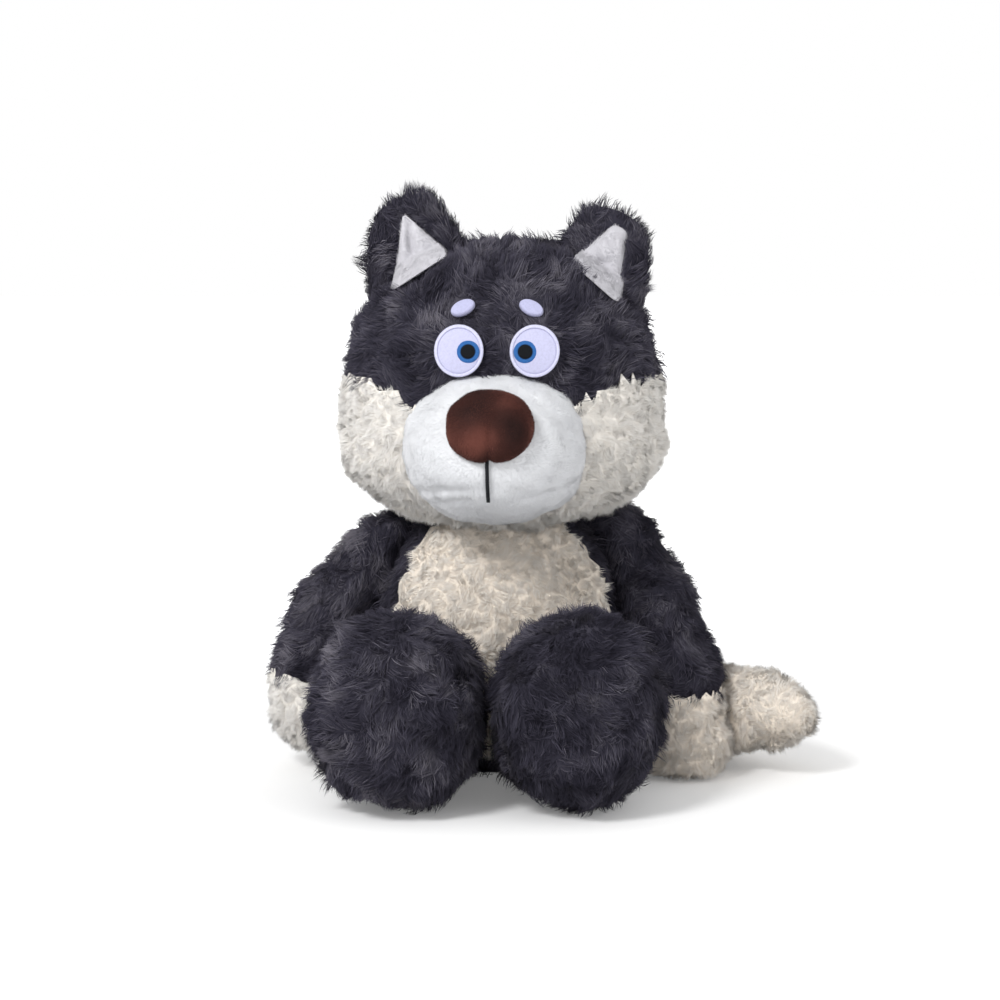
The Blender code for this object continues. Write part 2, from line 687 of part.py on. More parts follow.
def build_tail(shop, finish, torso_around, arm_around):
    """A charcoal root and a cream tip over one stuffing."""
    shape = tail_shape()
    size = {"floor": 0.0, **LIMB_GRID}
    core = shop.cutter("tail_core", form_mesh("tail_core", shape, PILE, **size))
    tip = box_mesh("tip_part", (TAIL_TIP_SEAM, -FAR, -FAR), (2 * FAR, FAR, FAR))
    tip_part = shop.cutter("tip_part", tip)
    grown = box_mesh("tip_grown", (TAIL_TIP_SEAM - SEAM, -FAR, -FAR), (2 * FAR, FAR, FAR))
    tip_grown = shop.cutter("tip_grown", grown)
    clear = [("DIFFERENCE", torso_around), ("DIFFERENCE", arm_around)]
    shop.panel("tail_root_skin", form_mesh("tail_root_skin", shape, **size), finish["charcoal"], [
        ("DIFFERENCE", core), *clear, ("DIFFERENCE", tip_grown),
    ])
    shop.panel("tail_tip_skin", form_mesh("tail_tip_skin", shape, **size), finish["cream"], [
        ("DIFFERENCE", core), *clear, ("INTERSECT", tip_part),
    ])
    fill = form_mesh("tail_stuffing", shape, PILE + SEAM, **size)
    shop.panel("tail_stuffing", fill, finish["fibre"], clear)


def main():
    clear_scene()
    shop = Workshop()
    finish = make_materials()
    head_around = build_head(shop, finish)
    torso_around = build_torso(shop, finish, head_around)
    leg_around = build_legs(shop, finish, torso_around)
    arm_around = build_arms(shop, finish, torso_around, head_around, leg_around)
    build_tail(shop, finish, torso_around, arm_around[1])
    for obj in shop.parts.objects:
        obj.data.shade_smooth()
        obj.data.set_sharp_from_angle(angle=SHARP_ANGLE)


main()
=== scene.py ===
"""The looks of the seated plush husky: stuffed bags under long fur, a smooth muzzle and an embroidered face.

Each bag is a rounded form that settles as stuffed cloth does, and its fur grows on it panel by panel. The
face looks along -Y, +Z is up, and lengths are in metres. Left and right are as seen from the front.
"""

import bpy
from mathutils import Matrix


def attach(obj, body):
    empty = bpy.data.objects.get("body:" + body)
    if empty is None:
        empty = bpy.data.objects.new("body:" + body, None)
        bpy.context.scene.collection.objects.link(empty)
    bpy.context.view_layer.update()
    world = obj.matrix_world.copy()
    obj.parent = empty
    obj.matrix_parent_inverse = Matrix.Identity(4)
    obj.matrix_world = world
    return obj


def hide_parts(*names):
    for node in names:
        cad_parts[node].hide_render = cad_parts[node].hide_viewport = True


bl_info = {
    "name": "Plush Husky",
    "version": (1, 0, 0),
    "blender": (4, 5, 0),
    "location": "View3D > Sidebar > Husky",
    "description": "Grows the fur and makes the face and the stage of a seated plush husky",
    "category": "Mesh",
}

import copy
import math

import bmesh
import bpy
import numpy as np
from bpy.props import FloatProperty, FloatVectorProperty, IntProperty, PointerProperty
from mathutils import Matrix, Vector
from mathutils.bvhtree import BVHTree
from mathutils.kdtree import KDTree

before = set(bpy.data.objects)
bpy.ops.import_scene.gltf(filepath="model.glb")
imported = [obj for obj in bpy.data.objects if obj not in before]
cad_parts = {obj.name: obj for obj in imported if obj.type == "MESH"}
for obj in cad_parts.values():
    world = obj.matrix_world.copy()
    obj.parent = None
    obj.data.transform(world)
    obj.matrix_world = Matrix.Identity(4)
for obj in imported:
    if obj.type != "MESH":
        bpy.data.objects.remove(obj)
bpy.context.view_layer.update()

# The head's own frame: the chin at height 0 on its upright axis
HEAD_TURN = np.array(Matrix.Rotation(math.radians(-3.0), 3, "Z"))
HEAD_PLACE = np.array((0.0, -0.008, 0.139))
MUZZLE_MIDDLE = np.array((0.0, -0.0419, 0.053))

UV_NAME = "OFBake"
# How far above the floor a strand stays, and how round its shading is
FLOOR_CLEAR = 0.0004
ROUNDNESS = 0.25
# The fabric's thickness, and how far above it a place looks for the nearest solid
BACKING = 0.0008
SKIN_RISE = 0.004
# How deep in a neighbour fabric and roots are left out
HIDDEN_BACKING = 0.004
HIDDEN_ROOT = 0.0015
SIDES = ((-1, "left"), (1, "right"))


# Sizes and colours

def colour_property(name, description, default):
    return FloatVectorProperty(
        name=name, description=description, default=default, subtype="COLOR", size=3, min=0.0, max=1.0
    )


def length_property(name, description, default):
    return FloatProperty(name=name, description=description, default=default, unit="LENGTH", precision=5)


def angle_property(name, description, degrees):
    return FloatProperty(name=name, description=description, default=math.radians(degrees), subtype="ANGLE")


def number_property(name, description, default):
    return FloatProperty(name=name, description=description, default=default, min=0.0)


def share_property(name, description, default):
    return FloatProperty(
        name=name, description=description, default=default, subtype="FACTOR", min=0.0, max=1.0
    )


def coat_group(name, description, values):
    """A PropertyGroup for one fabric's pile. The values are in the order of the fields below."""
    length, width, density, under, root_lean, tip_lean, ragged = values["strand"]
    tuft, tuft_pull, lock, lock_pull, scatter, swirl, frizz = values["tufts"]
    dark, middle, light, root, roughness = values["colours"]
    under_reach, patchy, sheen, even, crease, speckle = (
        values[key] for key in ("under_reach", "patchy", "sheen", "even", "crease", "speckle")
    )
    fields = {
        "length": length_property("Pile length", "Length of one strand", length),
        "width": length_property("Strand width", "Width of one strand at its root", width),
        "density": number_property("Density", "Bent strands on each square millimetre", density),
        "under": number_property("Underfur", "Straight strands on each square millimetre", under),
        "root_lean": angle_property("Root lean", "How far a strand leans at its root", root_lean),
        "tip_lean": angle_property("Tip lean", "How far a strand leans at its tip", tip_lean),
        "ragged": share_property("Raggedness", "How much the strands' lengths differ", ragged),
        "under_reach": share_property("Underfur reach", "Length of the underfur, as a share", under_reach),
        "tuft": length_property("Tuft size", "Distance between large tufts", tuft),
        "tuft_pull": share_property("Tuft pull", "How closely a large tuft's tips gather", tuft_pull),
        "lock": length_property("Lock size", "Distance between small locks", lock),
        "lock_pull": share_property("Lock pull", "How closely a small lock's tips gather", lock_pull),
        "scatter": angle_property("Scatter", "How far tufts turn away from the fur's lie", scatter),
        "swirl": angle_property("Swirl", "How far the lie of the fur wanders", swirl),
        "frizz": length_property("Frizz", "How far a strand strays from its lock", frizz),
        "dark": colour_property("Dark", "Colour of the darkest strands", dark),
        "middle": colour_property("Middle", "Colour of most strands", middle),
        "light": colour_property("Light", "Colour of the lightest strands", light),
        # The root shade darkens each strand toward its root, and warms cream: painted shade of the pile's
        # depths.
        "root": colour_property("Root shade", "Tint of a strand at its root", root),
        # Patchiness and speckle are partly the pile's own uneven tone and partly painted sheen; creases are also
        # painted darker, as painted shade.
        "patchy": share_property("Patchiness", "How much the tone wanders from place to place", patchy),
        "crease": share_property("Creases", "How much shorter the pile is along its creases", crease),
        "speckle": share_property("Speckle", "How much the tone differs from strand to strand", speckle),
        "roughness": share_property("Roughness", "Roughness of the strands", roughness),
        "sheen": share_property("Sheen", "How much light the pile catches at its edges", sheen),
        "even": number_property("Evenness", "How evenly the pile shades", even),
    }
    return type(name, (bpy.types.PropertyGroup,), {"__annotations__": fields, "__doc__": description})


CharcoalFur = coat_group("HUSKY_PG_charcoal_fur", "Charcoal fur", {
    "strand": (0.0086, 0.00043, 0.12, 1.15, 34.0, 76.0, 0.75),
    "under_reach": 0.80, "patchy": 0.20, "sheen": 0.15, "even": 0.5, "crease": 0.65, "speckle": 0.13,
    "tufts": (0.0090, 0.45, 0.0036, 0.35, 32.0, 60.0, 0.0005),
    "colours": ((0.028, 0.026, 0.04), (0.078, 0.073, 0.102), (0.24, 0.226, 0.262), (0.42, 0.42, 0.44), 0.85),
})
WOOL = {
    "strand": (0.0047, 0.00038, 0.0, 1.85, 26.0, 66.0, 0.40),
    "under_reach": 1.0, "patchy": 0.06, "sheen": 0.10, "even": 2.0, "crease": 0.0, "speckle": 0.05,
    "tufts": (0.0040, 0.30, 0.0018, 0.10, 65.0, 75.0, 0.0006),
}
CreamFur = coat_group("HUSKY_PG_cream_fur", "Woolly cream fur", WOOL | {
    "colours": ((0.93, 0.91, 0.87), (0.95, 0.935, 0.91), (0.96, 0.95, 0.93), (0.97, 0.94, 0.90), 0.95),
})
# The warmer cream is the chest's and the tail's own colour; on the right paw it stands for painted warm shade.
WarmFur = coat_group("HUSKY_PG_warm_fur", "Woolly cream fur of a warmer dye", WOOL | {
    "colours": ((0.92, 0.87, 0.81), (0.94, 0.905, 0.855), (0.96, 0.93, 0.89), (0.95, 0.89, 0.82), 0.95),
})
MuzzlePlush = coat_group("HUSKY_PG_muzzle_plush", "Short cool white plush", {
    "strand": (0.0017, 0.00030, 0.0, 1.2, 45.0, 82.0, 0.3),
    "under_reach": 1.0, "patchy": 0.04, "sheen": 0.05, "even": 1.2, "crease": 0.0, "speckle": 0.08,
    "tufts": (0.0050, 0.0, 0.0012, 0.0, 25.0, 60.0, 0.0001),
    "colours": ((0.765, 0.775, 0.80), (0.79, 0.80, 0.825), (0.81, 0.82, 0.84), (0.97, 0.97, 0.97), 0.7),
})
EarPlush = coat_group("HUSKY_PG_ear_plush", "Short pale grey plush", {
    "strand": (0.0018, 0.00032, 0.0, 1.6, 40.0, 78.0, 0.3),
    "under_reach": 1.0, "patchy": 0.06, "sheen": 0.05, "even": 1.2, "crease": 0.0, "speckle": 0.08,
    "tufts": (0.0045, 0.10, 0.0012, 0.10, 30.0, 50.0, 0.0002),
    "colours": ((0.62, 0.61, 0.65), (0.66, 0.65, 0.69), (0.70, 0.69, 0.73), (0.95, 0.95, 0.95), 0.7),
})
NoseVelvet = coat_group("HUSKY_PG_nose_velvet", "Dark brown velvet", {
    "strand": (0.0009, 0.00020, 0.0, 3.1, 20.0, 60.0, 0.2),
    "under_reach": 1.0, "patchy": 0.30, "sheen": 0.20, "even": 0.6, "crease": 0.0, "speckle": 0.08,
    "tufts": (0.0060, 0.0, 0.0010, 0.0, 30.0, 80.0, 0.0001),
    "colours": ((0.024, 0.009, 0.008), (0.058, 0.019, 0.015), (0.18, 0.06, 0.045), (0.75, 0.75, 0.75), 0.7),
})


class HuskyFace(bpy.types.PropertyGroup):
    """Sizes and thread colours of the face"""

    eye_diameter: length_property("Eye diameter", "Width of each eye's white disc", 0.0273)
    iris_diameter: length_property("Iris diameter", "Width of each blue ring", 0.0133)
    pupil_diameter: length_property("Pupil diameter", "Width of each black pupil", 0.0079)
    stitch: length_property("Stitch width", "Width of one embroidery stitch", 0.0006)
    white: colour_property("White thread", "Colour of the eyes", (0.54, 0.54, 0.73))
    brow: colour_property("Brow thread", "Colour of the brows", (0.46, 0.465, 0.66))
    rim: colour_property("Rim thread", "Colour of the stitched rim of each eye", (0.66, 0.66, 0.84))
    blue: colour_property("Blue thread", "Colour of the irises", (0.038, 0.145, 0.41))
    black: colour_property("Black thread", "Colour of the pupils and the mouth", (0.007, 0.008, 0.011))


class HuskyStuffing(bpy.types.PropertyGroup):
    """How the bags are stuffed"""

    fill: share_property("Fill", "How tightly the bags are stuffed", 0.75)
    pressure: number_property("Pressure", "How hard the stuffing pushes out", 4.0)
    frames: IntProperty(name="Steps", description="Steps for which the cloth settles", default=20, min=1)
    most: length_property("Most swell", "The furthest that any point moves", 0.0014)
    colour: colour_property("Fibre", "Colour of the stuffing", (0.88, 0.88, 0.86))


class HuskyStage(bpy.types.PropertyGroup):
    """The floor and the light"""

    floor: colour_property("Floor", "Colour of the floor", (0.92, 0.92, 0.92))
    lift: number_property("Floor lift", "White that the camera adds to the floor", 0.15)
    key: number_property("Key light", "Power of the soft light at upper left", 24.0)
    fill: number_property("Fill light", "Power of the weak light at right", 3.0)
    room: number_property("Room light", "Strength of the light from all sides", 0.72)


# Shapes: each maps unit directions to points, at some inset from the fur's tips

def along_curve(values, t):
    """A quadratic curve through the middle of three values, at each t."""
    first, middle, last = (np.atleast_1d(np.asarray(value, float)) for value in values)
    t = t[:, None]
    return first * (1 - t) ** 2 + middle * (2 * t * (1 - t)) + last * t ** 2


def unit(vectors):
    """The vectors at length 1."""
    return vectors / np.maximum(np.linalg.norm(vectors, axis=1, keepdims=True), 1e-12)


def cushion(low, high, centre, squareness):
    """A rounded box that reaches low and high from its centre."""
    low, high, centre = (np.array(part, float) for part in (low, high, centre))

    def shape(ways, inset):
        stretch = (np.abs(ways) ** squareness).sum(1, keepdims=True) ** (-1 / squareness)
        return centre + ways * (np.where(ways > 0, high, low) - inset) * stretch
    return shape


def limb(line, widths, heights, side, squareness, section):
    """A round-ended tube along a line of three control points."""
    line = [np.array(point, float) for point in line]
    length = np.linalg.norm(line[1] - line[0]) + np.linalg.norm(line[2] - line[1])
    side = np.array(side, float)

    def shape(ways, inset):
        along = np.clip(ways[:, 2], -1.0, 1.0)
        margin = inset / length
        t = margin + (1 - 2 * margin) * (along + 1) / 2
        tangent = unit(along_curve(line, t + 0.01) - along_curve(line, t - 0.01))
        across = unit(side - tangent * (tangent @ side)[:, None])
        upward = np.cross(tangent, across)
        swell = np.maximum(0.0, 1 - np.abs(along) ** squareness) ** (1 / squareness)
        turn = np.arctan2(ways[:, 1], ways[:, 0])
        right, up = np.cos(turn), np.sin(turn)
        swell = swell * (np.abs(right) ** section + np.abs(up) ** section) ** (-1 / section)
        reach = across * right[:, None] * (along_curve(widths, t) - inset)
        reach += upward * up[:, None] * (along_curve(heights, t) - inset)
        return along_curve(line, t) + reach * swell[:, None]
    return shape


def leaf(half_width, half_thickness, half_length, outer_taper, inner_taper, side, thinning):
    """An ear: thick at its root and thin at its rounded tip, and upright along its outer edge."""
    def shape(ways, inset):
        ways = ways * (np.abs(ways) ** 2.7).sum(1, keepdims=True) ** (-1 / 2.7)
        rise = (ways[:, 2] + 1) / 2
        taper = np.where(ways[:, 0] * side > 0, outer_taper, inner_taper)
        return np.stack((
            ways[:, 0] * (half_width * (1 - taper * rise ** 1.5) - inset),
            ways[:, 1] * (half_thickness * (1 - thinning * rise) - inset),
            ways[:, 2] * (half_length - inset),
        ), axis=1)
    return shape


def polygon_sides(corners):
    """A polygon's centre, and for each side the way out and how far away it lies."""
    corners = np.array(corners, float)
    centre = corners.mean(0)
    sides = np.roll(corners, -1, axis=0) - corners
    out = unit(np.stack((sides[:, 1], -sides[:, 0]), axis=1))
    away = ((corners - centre) * out).sum(1)
    return centre, out * np.sign(away)[:, None], np.abs(away)


def flat_cushion(corners, half_thickness):
    """A thin cushion over a polygon with rounded corners, drawn in X and Z."""
    centre, out, away = polygon_sides(corners)

    def shape(ways, inset):
        drawn = unit(ways[:, (0, 2)])
        share = np.maximum(drawn @ out.T, 0.0) / (away - inset)
        reach = (share ** 9).sum(1) ** (-1 / 9)
        spread = np.hypot(ways[:, 0], ways[:, 2]) ** 0.8 * reach
        flat = centre + drawn * spread[:, None]
        return np.stack((flat[:, 0], ways[:, 1] * (half_thickness - inset), flat[:, 1]), axis=1)
    return shape


def placed(shape, turn, move):
    """A shape, turned and then moved."""
    def moved(ways, inset):
        return shape(ways, inset) @ np.array(turn).T + np.array(move)
    return moved


def on_head(points):
    """Points of the head's own frame, in the whole object's frame."""
    return points @ HEAD_TURN.T + HEAD_PLACE


def from_head(points):
    """The reverse of on_head."""
    return (points - HEAD_PLACE) @ HEAD_TURN


# Forms: a shape as a mesh, with what the fur needs to know of it

class Form:
    """A closed, stuffed form, and its points, triangles and normals as arrays."""

    def __init__(
        self, name, shape, inset, detail,
        floor=-math.inf, walls=(), swell=None, held=None, press=None, lump=0.0,
    ):
        bm = bmesh.new()
        bmesh.ops.create_icosphere(bm, subdivisions=detail, radius=1.0)
        ways = unit(np.array([vert.co for vert in bm.verts]))
        points = shape(ways, inset)
        points[:, 2] = np.maximum(points[:, 2], floor)
        for point, facing in walls:
            deep = np.maximum((points - np.array(point)) @ np.array(facing, float), 0.0)
            points -= deep[:, None] * np.array(facing, float)
        if press is not None:
            points = press(points)
        for vert, point in zip(bm.verts, points):
            vert.co = point
        bmesh.ops.recalc_face_normals(bm, faces=bm.faces[:])
        if bm.calc_volume(signed=True) < 0:
            bmesh.ops.reverse_faces(bm, faces=bm.faces[:])
        mesh = bpy.data.meshes.new(name)
        bm.to_mesh(mesh)
        bm.free()
        if swell is not None:
            blow_up(mesh, swell, floor, held)
        self.smooth = read_vectors(mesh.vertices, "normal")
        if lump:
            points = read_vectors(mesh.vertices, "co")
            rise = 1.4 * ripple(points, 0.042, 43) + ripple(points, 0.020, 41)
            rise += 0.6 * ripple(points, 0.012, 42)
            points += self.smooth * (lump * rise)[:, None]
            points[:, 2] = np.maximum(points[:, 2], floor)
            mesh.vertices.foreach_set("co", points.astype(np.float32).ravel())
            mesh.update()
        self.floor = floor
        self.read(mesh)

    def read(self, mesh):
        """Takes the form's arrays from its mesh, and removes the mesh."""
        self.points = read_vectors(mesh.vertices, "co")
        self.normals = read_vectors(mesh.vertices, "normal")
        mesh.calc_loop_triangles()
        corners = np.empty(len(mesh.loop_triangles) * 3, np.int32)
        mesh.loop_triangles.foreach_get("vertices", corners)
        self.triangles = corners.reshape(-1, 3)
        a, b, c = (self.points[self.triangles[:, k]] for k in range(3))
        self.areas = np.linalg.norm(np.cross(b - a, c - a), axis=1) / 2
        self.tree = BVHTree.FromPolygons(self.points.tolist(), self.triangles.tolist())
        bpy.data.meshes.remove(mesh)

    def raised(self, height):
        """The same form, somewhat larger and with smoother normals, for a coat with a shorter pile."""
        other = copy.copy(self)
        other.points, other.normals = self.points + self.smooth * height, self.smooth
        other.points[:, 2] = np.maximum(other.points[:, 2], self.floor)
        return other

    def holds(self, points, margin=0.0):
        """Which of the points lie inside the form, at least that deep."""
        found = np.zeros(len(points), bool)
        low, high = self.points.min(0), self.points.max(0)
        near = np.flatnonzero(((points > low) & (points < high)).all(1))
        for index in near:
            point = Vector(points[index])
            spot, normal, _, _ = self.tree.find_nearest(point)
            found[index] = (point - spot).dot(normal) < -margin
        return found

    def scatter(self, density, rng):
        """Roots spread evenly over the form: their places and normals."""
        count = int(self.areas.sum() * 1e6 * density)
        total = np.cumsum(self.areas)
        at = (np.arange(count) + rng.random(count)) / count * total[-1]
        chosen = self.triangles[np.minimum(np.searchsorted(total, at), len(total) - 1)]
        first, second = np.sqrt(rng.random(count)), rng.random(count)
        shares = np.stack((1 - first, first * (1 - second), first * second), axis=1)[:, :, None]
        return (self.points[chosen] * shares).sum(1), unit((self.normals[chosen] * shares).sum(1))


def read_vectors(items, field):
    """One vector from each item, as an array."""
    values = np.empty(len(items) * 3, np.float32)
    items.foreach_get(field, values)
    return values.reshape(-1, 3).astype(float)


def blow_up(mesh, stuffing, floor, held):
    """Settles a form as stuffed cloth. The bag is cut smaller by its mean swell, so it keeps its size."""
    scene = bpy.context.scene
    obj = bpy.data.objects.new("settling", mesh)
    scene.collection.objects.link(obj)
    before = read_vectors(mesh.vertices, "co")
    cloth = obj.modifiers.new("Cloth", "CLOTH")
    cloth.settings.quality = 4
    cloth.settings.use_pressure = True
    cloth.settings.uniform_pressure_force = stuffing.pressure
    cloth.settings.tension_stiffness = 12
    cloth.settings.bending_stiffness = 0.3
    cloth.settings.shrink_min = -0.04
    cloth.settings.effector_weights.gravity = 0.0
    cloth.point_cache.frame_start, cloth.point_cache.frame_end = 1, stuffing.frames
    for step in range(1, stuffing.frames + 1):
        scene.frame_set(step)
    settled = obj.evaluated_get(bpy.context.evaluated_depsgraph_get())
    after = read_vectors(settled.data.vertices, "co")
    obj.modifiers.clear()
    scene.frame_set(1)
    outward = read_vectors(mesh.vertices, "normal")
    moved = after - before
    moved -= outward * (moved * outward).sum(1).mean()
    if held is not None:
        moved *= held(before)[:, None]
    far = np.linalg.norm(moved, axis=1, keepdims=True)
    moved *= np.minimum(1.0, stuffing.most / np.maximum(far, 1e-9))
    after = before + moved
    after[:, 2] = np.maximum(after[:, 2], floor)
    mesh.vertices.foreach_set("co", after.astype(np.float32).ravel())
    mesh.update()
    bpy.data.objects.remove(obj)


def nearest_panel(points, nodes):
    """For each point, which of the solid panels it is nearest to."""
    if len(nodes) == 1:
        return np.zeros(len(points), int)
    trees = []
    for node in nodes:
        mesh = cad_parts[node].data
        mesh.calc_loop_triangles()
        corners = [tuple(triangle.vertices) for triangle in mesh.loop_triangles]
        trees.append(BVHTree.FromPolygons([vert.co for vert in mesh.vertices], corners))
    gaps = np.array([[tree.find_nearest(Vector(point))[3] for tree in trees] for point in points])
    return gaps.argmin(1)


# Pile: strands laid along the fur's lie, gathered in locks and tufts

def ripple(points, size, seed, count=14):
    """A smooth wandering value at each point, about -1 to 1, with waves of some size."""
    rng = np.random.default_rng(seed)
    ways = unit(rng.normal(size=(count, 3))) * (2 * math.pi / size) * rng.uniform(0.6, 1.4, (count, 1))
    return np.sin(points @ ways.T + rng.uniform(0, 2 * math.pi, count)).sum(1) / math.sqrt(count)


def wander(points):
    """Small offsets that make a seam between two coats uneven."""
    return 0.0014 * np.stack([ripple(points, 0.010, seed) for seed in (91, 92, 93)], axis=1)


def turned(flow, normals, angles):
    """The flow, turned about each normal."""
    angles = angles[:, None]
    return flow * np.cos(angles) + np.cross(normals, flow) * np.sin(angles)


def lay(roots, normals, flow, lengths, leans, steps):
    """Each strand's line: it rises from its root and bends over along the flow."""
    start, end = (
        normals * np.cos(lean)[:, None] + flow * np.sin(lean)[:, None] for lean in leans
    )
    lines = []
    for step in steps:
        lines.append(roots + lengths[:, None] * ((step - step ** 2 / 2) * start + step ** 2 / 2 * end))
    return np.array(lines)


def gathered(points, share, rng):
    """Makes that share of the points heads of groups. Gives each point's nearest head, and the heads."""
    heads = rng.permutation(len(points))[:max(1, int(len(points) * share))]
    tree = KDTree(len(heads))
    for index, head in enumerate(heads):
        tree.insert(points[head], index)
    tree.balance()
    return np.array([tree.find(point)[1] for point in points], int), heads


def spike(bends):
    """One strand: a closed three-sided spike from 0 to 1, with rings where it bends."""
    bm = bmesh.new()
    bmesh.ops.create_cone(bm, cap_ends=True, cap_tris=False, segments=3, radius1=1.0, radius2=0.0, depth=1.0)
    bmesh.ops.translate(bm, verts=bm.verts[:], vec=(0, 0, 0.5))
    bmesh.ops.remove_doubles(bm, verts=bm.verts[:], dist=1e-5)
    for bend in range(bends):
        height = (bend + 1) / (bends + 1)
        everything = bm.verts[:] + bm.edges[:] + bm.faces[:]
        bmesh.ops.bisect_plane(bm, geom=everything, plane_co=(0, 0, height), plane_no=(0, 0, 1))
    bmesh.ops.recalc_face_normals(bm, faces=bm.faces[:])
    bm.verts.ensure_lookup_table()
    points = np.array([vert.co for vert in bm.verts])
    faces = [[vert.index for vert in face.verts] for face in bm.faces]
    bm.free()
    return points, faces


def strand_mesh(lines, steps, widths, bends, tones, facing, even, rng):
    """All strands as arrays: points, corners, faces' sizes, places on the colour map, and soft normals."""
    proto, faces = spike(bends)
    count = lines.shape[1]
    ring = np.round(proto[:, 2] * (len(steps) - 1)).astype(int)
    angle = np.arctan2(proto[:, 1], proto[:, 0])
    profile = np.interp(proto[:, 2], (0.0, 0.5, 0.8, 1.0), (0.5, 0.46, 0.30, 0.0))
    phase = rng.uniform(0, 2 * math.pi, count)
    points = np.empty((count, len(proto), 3), np.float32)
    soft = np.empty((count, len(proto), 3), np.float32)
    for index in range(len(proto)):
        here = ring[index]
        before, after = max(here - 1, 0), min(here + 1, len(steps) - 1)
        tangent = unit(lines[after] - lines[before])
        across = unit(np.cross(tangent, (0.31, 0.52, 0.79)))
        beside = np.cross(tangent, across)
        turn = (angle[index] + phase)[:, None]
        reach = (profile[index] * widths)[:, None]
        outward = np.cos(turn) * across + np.sin(turn) * beside
        points[:, index] = lines[here] + reach * outward
        upright = unit(facing - tangent * (facing * tangent).sum(1, keepdims=True))
        soft[:, index] = unit(upright + ROUNDNESS * outward + even * facing)
    points[:, :, 2] = np.maximum(points[:, :, 2], FLOOR_CLEAR)
    corners = np.concatenate(faces)
    sizes = np.array([len(face) for face in faces])
    side = np.round(angle / (2 * math.pi / 3)) % 3
    across_map, along_map = [], []
    for face in faces:
        for place, corner in enumerate(face):
            capped = all(proto[other, 2] < 0.01 for other in face)
            across_map.append(0.5 if proto[corner, 2] > 0.99 else side[corner] / 2)
            along_map.append(0.02 * (place - 1) if capped else proto[corner, 2])
    places = np.empty((count, len(corners), 2), np.float32)
    places[:, :, 0] = tones[:, None] * 0.97 + 0.01 + 0.012 * np.array(across_map)
    places[:, :, 1] = 0.10 + 0.88 * np.array(along_map)
    base = np.arange(count, dtype=np.int64)[:, None] * len(proto)
    return (
        points.reshape(-1, 3), (base + corners).ravel(), np.tile(sizes, count), places.reshape(-1, 2),
        soft.reshape(-1, 3),
    )


def backing_mesh(form, keep, thickness):
    """The fabric under the pile: a closed sheet of the form's triangles, with its own strip of the map."""
    bm = bmesh.new()
    chosen = form.triangles[keep]
    used, index = np.unique(chosen, return_inverse=True)
    verts = [bm.verts.new(point) for point in form.points[used]]
    for a, b, c in index.reshape(-1, 3):
        bm.faces.new((verts[a], verts[b], verts[c]))
    sheet = bm.faces[:]
    bmesh.ops.extrude_face_region(bm, geom=sheet, use_keep_orig=True)
    for vert, normal in zip(verts, form.normals[used]):
        vert.co -= Vector(normal) * thickness
    bmesh.ops.reverse_faces(bm, faces=sheet)
    bm.normal_update()
    bm.verts.ensure_lookup_table()
    points = np.array([vert.co for vert in bm.verts], np.float32)
    normals = np.array([vert.normal for vert in bm.verts], np.float32)
    corners = np.array([vert.index for face in bm.faces for vert in face.verts])
    sizes = np.array([len(face.verts) for face in bm.faces])
    bm.free()
    # The backing's strip lies at the roots' end of the map, so it takes their painted shade; its tone wanders at
    # random.
    shade = 0.5 + 0.25 * ripple(points, 0.02, 5)
    lift = 0.5 + 0.3 * ripple(points, 0.011, 6)
    places = np.stack((np.clip(shade, 0, 1)[corners], (0.08 * np.clip(lift, 0, 1))[corners]), axis=1)
    return points, corners, sizes, places.astype(np.float32), normals


def joined_mesh(name, parts):
    """One mesh from parts of (points, corners, sizes, places, normals)."""
    mesh = bpy.data.meshes.new(name)
    points = np.concatenate([part[0] for part in parts])
    starts = np.cumsum([0] + [len(part[0]) for part in parts[:-1]])
    corners = np.concatenate([part[1] + start for part, start in zip(parts, starts)])
    sizes = np.concatenate([part[2] for part in parts])
    places = np.concatenate([part[3] for part in parts])
    mesh.vertices.add(len(points))
    mesh.vertices.foreach_set("co", points.astype(np.float32).ravel())
    mesh.loops.add(len(corners))
    mesh.loops.foreach_set("vertex_index", corners.astype(np.int32))
    mesh.polygons.add(len(sizes))
    mesh.polygons.foreach_set("loop_start", np.concatenate(([0], np.cumsum(sizes)[:-1])).astype(np.int32))
    mesh.update(calc_edges=True)
    mesh.polygons.foreach_set("use_smooth", np.ones(len(sizes), bool))
    layer = mesh.uv_layers.new(name=UV_NAME)
    layer.uv.foreach_set("vector", places.ravel())
    mesh.update()
    mesh.normals_split_custom_set_from_vertices(np.concatenate([part[4] for part in parts]))
    return mesh


class Panel:
    """One piece of fur fabric: its solid, its coat, its lie, its painted shade, and where it differs from the
    coat.
    """

    def __init__(self, name, node, coat, slot, lie, half=None, shade=0.0, **changes):
        self.name, self.node, self.coat, self.slot, self.lie = name, node, coat, slot, lie
        # shade shifts the tone of the whole piece: painted light on the crown and the lit left side, painted
        # shade on the right side away from the light.
        self.half, self.shade, self.changes = half, shade, changes


